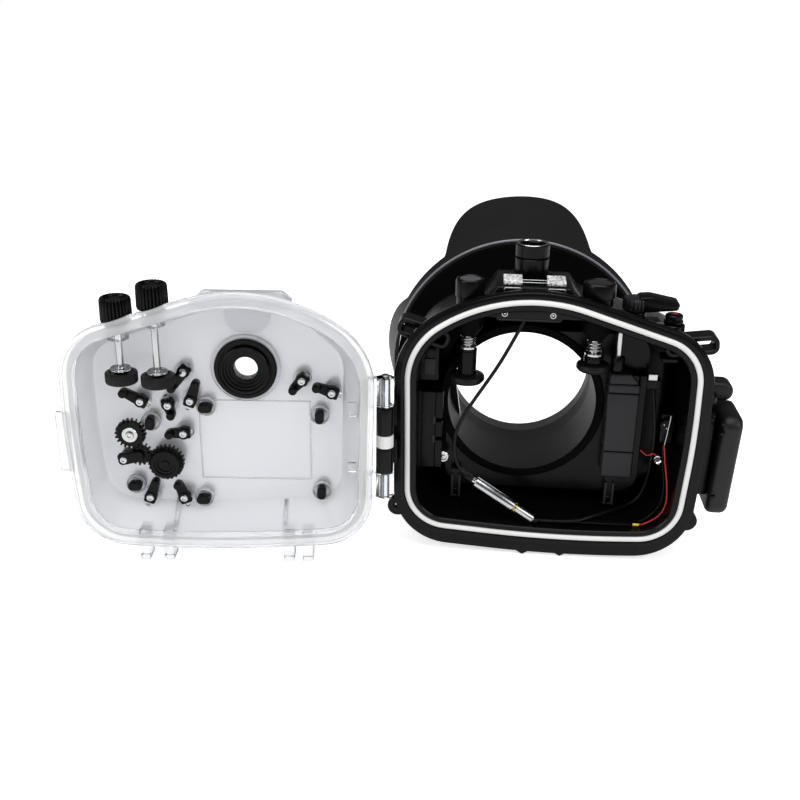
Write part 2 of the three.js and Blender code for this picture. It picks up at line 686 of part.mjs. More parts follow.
// Long knobs on the cover's top edge: places along X, knob foot and wheel centre
const KNOB_Y = -11;
const KNOB_R = 8.75;
const KNOB_LENGTH = 18;
const KNOB_FLUTE = 0.8;
const KNOB_FLUTES = 18;
const SHAFT_R = 2;
const SHAFT_CLEAR = 0.25;
const BOSS_R = 6;
const BOSS_LENGTH = 10;
const WHEEL_THICK = 6.5;
const WHEEL_FLUTES = 22;
const WHEEL_FLUTE = 0.9;
const COLLET_R = 4;
const COLLET_LENGTH = 3;
const KNOB_X = [69.2, 49];
const KNOB_FOOT = [58.8, 66.7];
const KNOB_WHEEL_Z = [26.5, 25];
const KNOB_WHEEL_R = [9, 9.4];
const KNOBS = ["outer", "inner"].map((name, i) => ({
  name,
  x: KNOB_X[i],
  foot: KNOB_FOOT[i],
  wheel: KNOB_WHEEL_Z[i],
  wheelR: KNOB_WHEEL_R[i],
}));
const knobBosses = KNOBS.map((k) =>
  at(cylinder(BOSS_R, k.foot - GAP - BOSS_LENGTH, k.foot - GAP), k.x, KNOB_Y, 0),
);
const knobPockets = KNOBS.map((k) =>
  at(cylinder(KNOB_R + FLANGE_EDGE, k.foot - GAP, k.foot + KNOB_LENGTH, 24), k.x, KNOB_Y, 0),
);
const knobHoles = KNOBS.map((k) =>
  at(cylinder(SHAFT_R + SHAFT_CLEAR, k.wheel, k.foot + OVERRUN, 16), k.x, KNOB_Y, 0),
);

// Pushers in the cover: levers reach from their shaft to a tip, the straight ones have an oval head
const PUSH_R = 2;
const CAP_R = 4.2;
const CAP_LENGTH = 5;
const PUSH_TRAVEL = 2.5;
const ARM_HALF = 2.7;
const ARM_Y = [-16.5, -13.5];
const TIP_R = 3.2;
const TIP_Y = [-16.5, -10];
const PUSH_BOSS_R = 3.7;
const PUSH_BOSS_Y = [-18.5, -12.5];
const OVAL_R = 3.3;
const OVAL_HALF = 2;
const OVAL_Y = [-18, -12];
const LEVERS = {
  lever_a: [62.4, 8.4, 72.1, 13.6],
  lever_b: [46.4, 6.7, 44.7, 0],
  lever_c: [33.6, 9.6, 27.7, 19.5],
  lever_d: [33.7, 24.5, 42.2, 13.5],
  lever_e: [38.6, -10.7, 48.2, -13],
  lever_g: [60.4, -52, 56.7, -42],
  lever_h: [40.5, -52, 43.2, -43],
  lever_i: [-30.8, 22.8, -25.6, 17.3],
  lever_j: [-46.9, 15.7, -38.3, 19.8],
};
const PLUNGERS = {
  plunger_a: [24.8, 6.4],
  plunger_b: [56.2, -4.5],
  plunger_c: [69, -44.3],
  plunger_d: [28.6, -50],
  plunger_e: [-40.6, 2.4],
  plunger_f: [-41, -46.4],
};
const LYING_HEADS = ["plunger_a", "plunger_c", "plunger_d"];
const PUSH_TUBE_R = 4.6;
const capY = -COVER_DEPTH - FLANGE_EDGE - PUSH_TRAVEL;
const pushShaft = (x, z) => [
  pinY(PUSH_R, x, z, capY - CAP_LENGTH / 2, PUSH_BOSS_Y[0] + OVERRUN, 8),
  pinY(CAP_R, x, z, capY - CAP_LENGTH, capY, 12),
];
const lever = ([x0, z0, x1, z1]) =>
  join(
    ...pushShaft(x0, z0),
    pinY(PUSH_BOSS_R, x0, z0, ...PUSH_BOSS_Y, 10),
    alongY(slot(x0, z0, x1, z1, ARM_HALF), ...ARM_Y, 4),
    pinY(TIP_R, x1, z1, ...TIP_Y, 8),
  );
const plunger = ([x, z], lying) => {
  const head = lying
    ? slot(x - OVAL_HALF, z, x + OVAL_HALF, z, OVAL_R)
    : slot(x, z - OVAL_HALF, x, z + OVAL_HALF, OVAL_R);
  return join(...pushShaft(x, z), alongY(head, ...OVAL_Y, 4));
};
const pushPlaces = [...Object.values(LEVERS), ...Object.values(PLUNGERS)];
const pushTubes = pushPlaces.map(([x, z]) =>
  pinY(PUSH_TUBE_R, x, z, floorY - OVERRUN, PUSH_BOSS_Y[0] - GAP, 12),
);
const pushHoles = pushPlaces.map(([x, z]) =>
  pinY(PUSH_R + SHAFT_CLEAR, x, z, -COVER_DEPTH - OVERRUN, PUSH_BOSS_Y[0], 8),
);

// Spur gears: a dial on the cover's back turns gear two, which turns gear one through an idler
const MODULE = 0.8;
const TEETH_ONE = 20;
const TEETH_TWO = 24;
const TEETH_IDLER = 14;
const TOOTH_SHARE = 0.31;
const ADDENDUM = 0.85;
const DEDENDUM = 1.2;
const MESH_CLEAR = 0.12;
const GEAR_THICK = 5;
const GEAR_Y = -19.5;
const GEAR_ONE = [68.5, -10.5];
const GEAR_TWO = [49.1, -28.2];
const POST_R = 1.6;
const DIAL_R = 9;
const DIAL_LENGTH = 7;
const IDLER_POST = [75.2, -26];
const gearPitch = (teeth) => (MODULE * teeth) / 2;
const centreOne = gearPitch(TEETH_ONE) + gearPitch(TEETH_IDLER) + MESH_CLEAR;
const centreTwo = gearPitch(TEETH_TWO) + gearPitch(TEETH_IDLER) + MESH_CLEAR;
const idlerPlace = () => {
  const dx = GEAR_TWO[0] - GEAR_ONE[0];
  const dz = GEAR_TWO[1] - GEAR_ONE[1];
  const span = Math.hypot(dx, dz);
  const along = (centreOne ** 2 - centreTwo ** 2 + span ** 2) / (2 * span);
  const off = Math.sqrt(centreOne ** 2 - along ** 2);
  return [GEAR_ONE[0] + (dx * along - dz * off) / span, GEAR_ONE[1] + (dz * along + dx * off) / span];
};
const IDLER = idlerPlace();
const bearing = (from, to) => Math.atan2(to[1] - from[1], to[0] - from[0]);
const gearShape = (teeth, phase, bore) => {
  const pitch = (2 * Math.PI) / teeth;
  const r = gearPitch(teeth);
  const tooth = [
    [r - DEDENDUM * MODULE, -TOOTH_SHARE],
    [r + ADDENDUM * MODULE, -TOOTH_SHARE / 2],
    [r + ADDENDUM * MODULE, TOOTH_SHARE / 2],
    [r - DEDENDUM * MODULE, TOOTH_SHARE],
  ];
  const points = Array.from({ length: teeth }, (_, i) =>
    tooth.map(([reach, share]) => {
      const angle = phase + pitch * (i + share);
      return [reach * Math.cos(angle), reach * Math.sin(angle)];
    }),
  ).flat();
  const shape = loop(points);
  if (bore > 0) shape.holes.push(disc(bore));
  return shape;
};
const halfTooth = (teeth) => Math.PI / teeth;
const idlerPhase = bearing(IDLER, GEAR_ONE);
const onePhase = bearing(GEAR_ONE, IDLER) + halfTooth(TEETH_ONE);
const idlerPitch = (2 * Math.PI) / TEETH_IDLER;
const idlerTurn = (((bearing(IDLER, GEAR_TWO) - idlerPhase) % idlerPitch) + idlerPitch) % idlerPitch;
const twoShift = (idlerTurn / idlerPitch) * ((2 * Math.PI) / TEETH_TWO);
const twoPhase = bearing(GEAR_TWO, IDLER) + halfTooth(TEETH_TWO) + twoShift;
const gearSolid = (teeth, phase, bore, [x, z]) =>
  alongY(gearShape(teeth, phase, bore), GEAR_Y, GEAR_Y + GEAR_THICK, 6).translate(x, 0, z);
const gearPost = pinY(POST_R, ...GEAR_ONE, floorY - OVERRUN, GEAR_Y + GEAR_THICK + OVERRUN, 12);
const dialHole = pinY(PUSH_R + SHAFT_CLEAR, ...GEAR_TWO, -COVER_DEPTH - OVERRUN, floorY + OVERRUN, 12);

// Eyepiece window
const EYE_X = 1.7;
const EYE_Z = 28.7;
const EYE_R = 17.7;
const EYE_BORE_R = 10.6;
const EYE_STEP_R = 13.6;
const EYE_HEIGHT = 7;
const EYE_GLASS = 2;

const coverShell = trimmed(
  joined(coverOutside, hump, tab, ...coverHingeParts, ...coverFeet, ...knobBosses),
  coverInside,
  humpInside,
  knuckleBore,
  ...knobPockets,
);
const coverFull = joined(coverShell, screenFrame(), gearPost, ...pushTubes, ...trayRibs);
add("back_cover", cut(coverFull, ...knobHoles, ...pushHoles, dialHole), clearPlastic(), cover);

const eyepiece = turned(
  [
    [EYE_BORE_R, floorY + GAP],
    [EYE_R, floorY + GAP],
    [EYE_R, floorY + EYE_HEIGHT / 2],
    [EYE_R - FLANGE_EDGE, floorY + EYE_HEIGHT / 2 + FLANGE_EDGE],
    [EYE_STEP_R, floorY + EYE_HEIGHT / 2 + FLANGE_EDGE],
    [EYE_STEP_R, floorY + EYE_HEIGHT],
    [EYE_BORE_R, floorY + EYE_HEIGHT],
  ],
  32,
);
add("eyepiece_ring", at(towardY(eyepiece), EYE_X, 0, EYE_Z), blackPlastic(), cover);
const eyeGlass = pinY(EYE_BORE_R - GAP, EYE_X, EYE_Z, floorY + GAP, floorY + GAP + EYE_GLASS, 24);
add("eyepiece_glass", eyeGlass, clearPlastic(), cover);

for (const k of KNOBS) {
  const top = k.wheel + WHEEL_THICK / 2 + GAP;
  const stem = join(
    at(fluted(KNOB_R, KNOB_FLUTE, KNOB_FLUTES, k.foot, k.foot + KNOB_LENGTH), k.x, KNOB_Y, 0),
    at(cylinder(SHAFT_R, k.wheel - WHEEL_THICK / 2, k.foot + OVERRUN, 16), k.x, KNOB_Y, 0),
    at(cylinder(COLLET_R, top, top + COLLET_LENGTH, 16), k.x, KNOB_Y, 0),
  );
  add("cover_knob_" + k.name, stem, blackPlastic(), cover);
  const rubber = cut(
    fluted(k.wheelR, WHEEL_FLUTE, WHEEL_FLUTES, k.wheel - WHEEL_THICK / 2, k.wheel + WHEEL_THICK / 2),
    cylinder(SHAFT_R + GAP, k.wheel - WHEEL_THICK, k.wheel + WHEEL_THICK, 16),
  );
  add("knob_wheel_" + k.name, at(rubber, k.x, KNOB_Y, 0), material(BLACK, 0.8), cover);
}
for (const [name, place] of Object.entries(LEVERS)) add(name, lever(place), blackPlastic(), cover);
for (const [name, place] of Object.entries(PLUNGERS))
  add(name, plunger(place, LYING_HEADS.includes(name)), blackPlastic(), cover);

add("gear_one", gearSolid(TEETH_ONE, onePhase, POST_R + SHAFT_CLEAR, GEAR_ONE), blackPlastic(), cover);
const dialBack = -COVER_DEPTH - FLANGE_EDGE;
const gearTwo = join(
  gearSolid(TEETH_TWO, twoPhase, 0, GEAR_TWO),
  pinY(PUSH_R, ...GEAR_TWO, dialBack - DIAL_LENGTH / 2, GEAR_Y + OVERRUN, 12),
  pinY(DIAL_R, ...GEAR_TWO, dialBack - DIAL_LENGTH, dialBack, 32),
);
add("gear_two", gearTwo, blackPlastic(), cover);
add("idler_pinion", gearSolid(TEETH_IDLER, idlerPhase, POST_R + SHAFT_CLEAR, IDLER), blackPlastic(), cover);
const armTop = GEAR_Y + GEAR_THICK + OVERRUN / 2;
const idlerArm = join(
  pinY(PUSH_BOSS_R, ...IDLER_POST, floorY + GAP, armTop + ARM_HALF, 16),
  alongY(slot(...IDLER_POST, ...IDLER, ARM_HALF), armTop, armTop + ARM_HALF, 5),
  pinY(POST_R, ...IDLER, GEAR_Y, armTop + OVERRUN, 12),
);
add("idler_arm", idlerArm, blackPlastic(), cover);

// Inner cradle round the port collar, with its two clip legs
const PLATE_Y = [32, 35];
const PLATE_X = [-44, 72];
const PLATE_Z = [-54.5, 46];
const PLATE_CORNER = 12;
const LEG_Y0 = 27;
const LEG_Z = -61.5;
const LEG_HALF = 3;
const LEG_X = [-37, 55.5];
const cradleLeg = (x) =>
  box(x - LEG_HALF, x + LEG_HALF, LEG_Y0, PLATE_Y[1], LEG_Z, PLATE_Z[0] + PLATE_CORNER);
const legHole = (x) => pinY(LEG_HALF - FLANGE_EDGE, x, LEG_Z, LEG_Y0 - OVERRUN, PLATE_Y[1] + OVERRUN, 12);
const cradle = cut(
  join(
    alongY(pill(PLATE_X[0], PLATE_Z[0], PLATE_X[1], PLATE_Z[1], PLATE_CORNER), ...PLATE_Y, 6),
    ...LEG_X.map(cradleLeg),
  ),
  pinY(COLLAR_R + GAP, 0, PORT_Z, PLATE_Y[0] - OVERRUN, PLATE_Y[1] + OVERRUN, 40),
  ...LEG_X.map(legHole),
  box(PLATE_X[0] - OVERRUN, 0, PLATE_Y[0] - OVERRUN, PLATE_Y[1] + OVERRUN, PORT_Z, PLATE_Z[1] + OVERRUN),
);
add("cradle_plate", cradle, blackPlastic());

// Grip tower beside the collar, chamfered at the top, with a stepped strip and a block on its right
const TOWER_X = [49.3, 67, 71];
const TOWER_Z = [-40, 25];
const TOWER_Y = [21, 31.7];
const TOWER_CHAMFER = 6;
const TOWER_BLOCK_END = 79;
const TOWER_BLOCK_Z = [16, 24];
const TOWER_SEAMS = [13, -24];
const SEAM_DEPTH = 1;
const towerShape = loop([
  [TOWER_X[0], TOWER_Z[0]],
  [TOWER_X[1], TOWER_Z[0]],
  [TOWER_X[1], TOWER_Z[1] - TOWER_CHAMFER],
  [TOWER_X[1] - TOWER_CHAMFER, TOWER_Z[1]],
  [TOWER_X[0], TOWER_Z[1]],
]);
const towerSeam = (z) =>
  box(TOWER_X[0] - OVERRUN, TOWER_X[1], TOWER_Y[0] - OVERRUN, TOWER_Y[0] + SEAM_DEPTH, z, z + SEAM_DEPTH);
const tower = cut(
  join(
    alongY(towerShape, ...TOWER_Y),
    box(TOWER_X[1] - OVERRUN, TOWER_X[2], TOWER_Y[0] + RIB_THICK, TOWER_Y[1], TOWER_Z[0], TOWER_BLOCK_Z[1]),
    box(TOWER_X[2] - OVERRUN, TOWER_BLOCK_END, TOWER_Y[0] + RIB_THICK, TOWER_Y[1], ...TOWER_BLOCK_Z),
  ),
  ...TOWER_SEAMS.map(towerSeam),
);
add("grip_tower", tower, blackPlastic());

// Slotted bracket on the left wall
const BRACKET_X = [-59, -46];
const BRACKET_Z = [-40, 9];
const BRACKET_Y = [22, 27];
const BRACKET_SLOTS = [-9, -21];
const SLOT_HALF = 1.6;
const SLOT_REACH = 4;
const bracketSlot = (z) => {
  const shape = slot(BRACKET_X[1] - SLOT_REACH * 2, z, BRACKET_X[1] - SLOT_REACH, z, SLOT_HALF);
  return alongY(shape, BRACKET_Y[0] - OVERRUN, BRACKET_Y[1] + OVERRUN, 4);
};
const bracket = cut(
  alongY(pill(BRACKET_X[0], BRACKET_Z[0], BRACKET_X[1], BRACKET_Z[1], RIB_THICK), ...BRACKET_Y, 4),
  ...BRACKET_SLOTS.map(bracketSlot),
);
add("side_bracket", bracket, blackPlastic());

// Pull, push and turn dials on the body's top: knob and shaft, circlip, spring and rubber wheel
const SPRING_WIRE = 0.8;
const SPRING_TURNS = 3;
const SPRING_STEPS = 8;
const spring = (r, z0, z1) => {
  const wire = SPRING_WIRE / 2;
  const lift = z1 - z0 - 2 * SPRING_WIRE;
  const turns = Array.from({ length: SPRING_TURNS * SPRING_STEPS + 1 }, (_, i) => {
    const angle = (2 * Math.PI * i) / SPRING_STEPS;
    const z = z0 + SPRING_WIRE + (lift * i) / (SPRING_TURNS * SPRING_STEPS);
    return new THREE.Vector3(r * Math.cos(angle), r * Math.sin(angle), z);
  });
  const ring = (p, i) => {
    const angle = (2 * Math.PI * i) / SPRING_STEPS;
    const out = new THREE.Vector3(Math.cos(angle), Math.sin(angle), 0);
    return Array.from({ length: 5 }, (_, k) => {
      const around = (2 * Math.PI * k) / 5;
      return p
        .clone()
        .addScaledVector(out, wire * Math.cos(around))
        .add(new THREE.Vector3(0, 0, wire * Math.sin(around)));
    });
  };
  const rings = turns.map(ring);
  const index = [];
  for (let i = 0; i + 1 < rings.length; i += 1)
    for (let k = 0; k < 5; k += 1) {
      const a = i * 5 + k;
      const b = i * 5 + ((k + 1) % 5);
      index.push(a, a + 5, b + 5, a, b + 5, b);
    }
  const last = (rings.length - 1) * 5;
  for (let k = 1; k < 4; k += 1) {
    index.push(0, k, k + 1);
    index.push(last, last + k + 1, last + k);
  }
  const leastGap = lift / SPRING_TURNS - SPRING_WIRE;
  console.log("spring gap between turns", leastGap.toFixed(2), "mm");
  const geometry = new THREE.BufferGeometry();
  geometry.setAttribute("position", pointsOf(rings));
  geometry.setIndex(index);
  return toCreasedNormals(geometry, round(60));
};

const DIAL_SHAFT_R = 2.4;
const GLAND_R = 4.8;
const SPRING_R = 4;
const CIRCLIP_THICK = 1;
const CIRCLIP_R = 5.2;
const HUB_R = 5.5;
const DIAL_WHEEL_THICK = 5;
const POCKET_CLEAR = 0.8;
const DIAL_TOP = 80;
const SPRING_TOP = 46.5;
const DIAL_X = [-33, 38.5];
const DIAL_Y = [18, 19];
const DIAL_KNOB_R = [8.7, 8.2];
const DIAL_FOOT = [64.5, 66.8];
const CLIP_Z = [39, 37.5];
const HUB_LOW = [22, 33.4];
const DIAL_WHEEL_Z = [16.5, 30];
const DIAL_WHEEL_R = [10, 9.4];
const DIALS = ["left", "right"].map((name, i) => ({
  name,
  x: DIAL_X[i],
  y: DIAL_Y[i],
  r: DIAL_KNOB_R[i],
  foot: DIAL_FOOT[i],
  clip: CLIP_Z[i],
  hubLow: HUB_LOW[i],
  wheel: DIAL_WHEEL_Z[i],
  wheelR: DIAL_WHEEL_R[i],
}));
const glandTop = (d) => d.foot - GAP;
const dialGland = (d) => at(cylinder(GLAND_R, SPRING_TOP + GAP, glandTop(d), 14), d.x, d.y, 0);
const dialSpot = (d) =>
  at(cylinder(d.r + POCKET_CLEAR * 2, glandTop(d) - CAVITY_IN, glandTop(d), 22), d.x, d.y, 0);
const dialPocket = (d) =>
  at(cylinder(d.r + POCKET_CLEAR, glandTop(d), PLATFORM_TOP + KNOB_LENGTH, 22), d.x, d.y, 0);
const dialBore = (d) =>
  at(cylinder(DIAL_SHAFT_R + SHAFT_CLEAR, SPRING_TOP - OVERRUN, glandTop(d) + OVERRUN, 16), d.x, d.y, 0);
for (const d of DIALS) {
  const clipTop = d.clip + CIRCLIP_THICK;
  const hubTop = d.clip - GAP;
  const wheelTop = d.wheel + DIAL_WHEEL_THICK / 2;
  const stem = join(
    fluted(d.r, KNOB_FLUTE, KNOB_FLUTES, d.foot, DIAL_TOP),
    cylinder(DIAL_SHAFT_R, d.wheel - DIAL_WHEEL_THICK / 2, d.foot + OVERRUN, 16),
    cylinder(HUB_R, Math.max(d.hubLow, wheelTop + GAP), hubTop, 20),
  );
  add("dial_" + d.name + "_knob", at(stem, d.x, d.y, 0), blackPlastic());
  const wheelRubber = cut(
    cylinder(d.wheelR, d.wheel - DIAL_WHEEL_THICK / 2, wheelTop, 28),
    cylinder(DIAL_SHAFT_R + GAP, d.wheel - DIAL_WHEEL_THICK, wheelTop + OVERRUN, 16),
  );
  add("dial_" + d.name + "_wheel", at(wheelRubber, d.x, d.y, 0), material(BLACK, 0.85));
  const clipShape = disc(CIRCLIP_R);
  clipShape.holes.push(disc(DIAL_SHAFT_R + SHAFT_CLEAR));
  add("dial_" + d.name + "_circlip", at(alongZ(clipShape, d.clip, clipTop, 8), d.x, d.y, 0), steel());
  add("dial_" + d.name + "_spring", at(spring(SPRING_R, clipTop + GAP, SPRING_TOP), d.x, d.y, 0), steel());
}

// Vacuum valve on the platform
const VALVE_R = 9.6;
const VALVE_BODY_HEIGHT = 11.2;
const VALVE_CAP_HEIGHT = 8;
const VALVE_STEM_R = 5.7;
const VALVE_BORE_R = 5;
const VALVE_BORE = 5;
const VALVE_FLUTES = 16;
const valveSeat = PLATFORM_TOP + GAP;
const valveSeam = valveSeat + VALVE_BODY_HEIGHT;
const valveTop = valveSeam + VALVE_CAP_HEIGHT;
const valveBody = join(
  cylinder(VALVE_R, valveSeat, valveSeam - GAP, 28),
  cylinder(VALVE_STEM_R, valveSeat - SCREW_BLOCK_DEPTH, valveSeam - OVERRUN, 16),
  box(-VALVE_R - RIB_THICK, VALVE_R + RIB_THICK, -RIB_THICK, RIB_THICK, valveSeat, valveSeat + RIB_THICK),
);
add("valve_body", at(valveBody, VALVE_X, VALVE_Y, 0), blackCoat());
const valveCap = cut(
  fluted(VALVE_R, KNOB_FLUTE, VALVE_FLUTES, valveSeam, valveTop),
  cylinder(VALVE_BORE_R, valveTop - VALVE_BORE, valveTop + OVERRUN, 20),
);
add("valve_cap", at(valveCap, VALVE_X, VALVE_Y, 0), blackCoat());

// Two light windows on the platform's rear edge, tilted to the rear, with a bar between them
const WINDOW_X = [-9.5, 14.5];
const WINDOW_HALF = 5.2;
const WINDOW_LENGTH = 11;
const WINDOW_THICK = 1.6;
const WINDOW_BAR = [1.2, 3.4];
const WINDOW_TILT = 9;
const windowHinge = [PLATFORM_Y0 + FLANGE_EDGE * 3, valveSeat];
const windowPane = (x) =>
  alongZ(pill(x - WINDOW_HALF, 0, x + WINDOW_HALF, WINDOW_LENGTH, FLANGE_EDGE), 0, WINDOW_THICK, 3);
const windowBar = box(...WINDOW_X, WINDOW_BAR[0], WINDOW_BAR[1], 0, WINDOW_THICK);
const windows = join(...WINDOW_X.map(windowPane), windowBar)
  .rotateX(round(WINDOW_TILT))
  .translate(0, ...windowHinge);
add("light_windows", windows, material(GREY, 0.6));

// Shutter paddle on its boss, the rod beneath it and the record button with its inner arm
const PADDLE_X = 60;
const PADDLE_Y = 26;
const PADDLE_Z = [68, 73];
const PADDLE_END = [80, 22];
const PADDLE_R = 5;
const PADDLE_BLOCK = [77, 82, 17, 27, 66, 76];
const PADDLE_PIN = 7;
const ROD_X = 52.6;
const ROD_Y = 20;
const ROD_R = 2.2;
const ROD_HUB_R = 4;
const ROD_Z = [34, 65];
const ROD_HUB_Z = [34, 39];
const RECORD_X = 81;
const RECORD_Y = 20;
const RECORD_R = 5.3;
const RECORD_Z = [57.6, 63];
const RECORD_LOW = 36;
const RECORD_PLATE = [-5, 5, -6, 6];
const RECORD_PLATE_THICK = 2.5;
const TOP_BLOCK_X = [64, 74];
const TOP_BLOCK_Y = [14, 28];
const TOP_BLOCK_Z = [50, 58.5];
const paddle = join(
  alongZ(slot(PADDLE_X, PADDLE_Y, ...PADDLE_END, PADDLE_R), ...PADDLE_Z, 6),
  box(...PADDLE_BLOCK),
  at(cylinder(SHAFT_R, PADDLE_Z[0] - PADDLE_PIN, PADDLE_Z[0] + OVERRUN, 12), PADDLE_X, PADDLE_Y, 0),
  at(fluted(PADDLE_R, KNOB_FLUTE, 12, PADDLE_Z[1] - OVERRUN, PADDLE_Z[1] + RIB_THICK), PADDLE_X, PADDLE_Y, 0),
);
add("shutter_paddle", paddle, blackPlastic());
const rod = join(
  at(cylinder(ROD_R, ...ROD_Z, 14), ROD_X, ROD_Y, 0),
  at(cylinder(ROD_HUB_R, ...ROD_HUB_Z, 16), ROD_X, ROD_Y, 0),
);
add("shutter_rod", rod, steel());
const record = join(
  at(cylinder(RECORD_R, ...RECORD_Z, 24), RECORD_X, RECORD_Y, 0),
  at(cylinder(SHAFT_R, RECORD_LOW, RECORD_Z[0] + OVERRUN, 12), RECORD_X, RECORD_Y, 0),
  at(box(...RECORD_PLATE, RECORD_LOW, RECORD_LOW + RECORD_PLATE_THICK), RECORD_X, RECORD_Y, 0),
);
add("record_button", record, blackPlastic());

// Latch on the right flank: base with ears and pin, and the padded lever
const LATCH_BASE_X = [98.9, 110.2];
const LATCH_BASE_Y = [14, 34];
const LATCH_BASE_Z = [-46, 6];
const LATCH_X = 108;
const LATCH_Y = 41;
const LATCH_R = 4;
const LATCH_EAR = 8;
const SLAB_X = [110.6, 121.5];
const SLAB_Y = [6, 44];
const SLAB_Z = [-50, 9];
const SLAB_CORNER = 7;
const latchBarrel = (r, z0, z1) => at(cylinder(r, z0, z1, 14), LATCH_X, LATCH_Y, 0);
const ears = [
  [LATCH_BASE_Z[0], LATCH_BASE_Z[0] + LATCH_EAR],
  [LATCH_BASE_Z[1] - LATCH_EAR, LATCH_BASE_Z[1]],
];
const latchPlate = pill(LATCH_BASE_Y[0], LATCH_BASE_Z[0], LATCH_BASE_Y[1], LATCH_BASE_Z[1], RIB_THICK);
const latchEar = ([z0, z1]) =>
  box(LATCH_X - LATCH_R, LATCH_X + OVERRUN, LATCH_BASE_Y[1] - OVERRUN, LATCH_Y, z0, z1);
const latchBase = join(
  alongX(latchPlate, ...LATCH_BASE_X, 4),
  ...ears.map(([z0, z1]) => latchBarrel(LATCH_R - FLANGE_EDGE, z0, z1)),
  ...ears.map(latchEar),
  latchBarrel(SHAFT_R, LATCH_BASE_Z[0], LATCH_BASE_Z[1]),
);
add("latch_base", latchBase, blackPlastic());
const pocketX = [LATCH_X, SLAB_X[0] + RIB_THICK];
const pocketY = [LATCH_BASE_Y[1] + OVERRUN, SLAB_Y[1] + OVERRUN];
const slabPocket = ears.map(([z0, z1]) => box(...pocketX, ...pocketY, z0 - OVERRUN, z1 + OVERRUN));
const barrelZ = [ears[0][1] + GAP, ears[1][0] - GAP];
const slab = cut(
  join(
    alongX(pill(SLAB_Y[0], SLAB_Z[0], SLAB_Y[1], SLAB_Z[1], SLAB_CORNER), ...SLAB_X, 6),
    latchBarrel(LATCH_R, ...barrelZ),
    box(LATCH_X, SLAB_X[0] + OVERRUN, LATCH_Y - RIB_THICK, LATCH_Y + RIB_THICK, ...barrelZ),
  ),
  ...slabPocket,
  latchBarrel(SHAFT_R + SHAFT_CLEAR, LATCH_BASE_Z[0], LATCH_BASE_Z[1]),
);
add("latch_lever", slab, material(SOFT_BLACK, 0.7));

// Leads inside the body: upper lead, plug-in connector, lower lead, leak strip, wire and sensor module
const CABLE_R = 1.1;
const WIRE_R = 0.6;
const lead = (points, r, steps, sides = 8) => {
  const places = points.map(([x, y, z]) => new THREE.Vector3(x, y, z));
  const path = new THREE.CatmullRomCurve3(places, false, "centripetal");
  const section = loop(arc(0, 0, r, 0, 360, sides).slice(0, -1).map((p) => [p.x, p.y]));
  return new THREE.ExtrudeGeometry(section, { steps, bevelEnabled: false, extrudePath: path });
};
const UPPER_LEAD = [
  [-1, 12, 60.4],
  [-6, 11, 48],
  [-14.6, 10, 29],
  [-32, 9, 0],
  [-37.3, 9, -15.4],
  [-36, 10, -30],
  [-29.95, 10, -38.3],
];
const CONNECTOR_FROM = [-29.5, 10, -38.6];
const CONNECTOR_TO = [8.8, 6, -61.6];
const LOWER_LEAD = [
  [10.6, 5.9, -61.8],
  [18, 5.5, -62.4],
  [34, 5.5, -62.6],
  [44, 10, -61.5],
  [55, 18, -61.5],
  [70, 28, -60],
  [76.5, 29, -50],
  [78.5, 26, -28],
  [78, 24, -7],
  [75, 25, 15.6],
];
const CONNECTOR_PROFILE = [
  [0, 0],
  [1.6, 0],
  [1.9, 6],
  [3, 6.4],
  [3.2, 9],
  [3.2, 19],
  [3.5, 19.6],
  [3.5, 23],
  [2.9, 23.6],
  [2.9, 38],
  [1.9, 39],
  [1.6, 44],
  [0, 44],
];
add("cable_upper", lead(UPPER_LEAD, CABLE_R, 22), material(BLACK, 0.6));
const plugStart = new THREE.Vector3(...CONNECTOR_FROM);
const plugAxis = new THREE.Vector3(...CONNECTOR_TO).sub(plugStart);
const plugShare = plugAxis.length() / CONNECTOR_PROFILE.at(-1)[1];
const plugProfile = CONNECTOR_PROFILE.map(([r, h]) => [r, h * plugShare]);
const connector = add("connector", turned(plugProfile, 12), steel());
connector.position.copy(plugStart);
connector.quaternion.setFromUnitVectors(new THREE.Vector3(0, 0, 1), plugAxis.normalize());
add("cable_lower", lead(LOWER_LEAD, CABLE_R, 34), material(BLACK, 0.6));
const STRIP_X = [22, 67];
const STRIP_Y = [9.5, 13.5];
const STRIP_Z = [-64, -62.9];
add("leak_strip", box(...STRIP_X, ...STRIP_Y, ...STRIP_Z), material(BLACK, 0.5));
const WIRE = [
  [67.4, 11.5, -63.3],
  [73, 10, -62.8],
  [82, 10, -58.5],
  [86.2, 10, -50],
  [86.4, 11, -38],
  [84.6, 14, -26],
  [84, 20, -17.5],
];
add("sensor_wire", lead(WIRE, WIRE_R, 22), material(RED, 0.5));
const MODULE_X = [81.2, 89];
const MODULE_Y = [20, 26];
const MODULE_Z = [-17, 1];
add("sensor_module", box(...MODULE_X, ...MODULE_Y, ...MODULE_Z), blackPlastic());

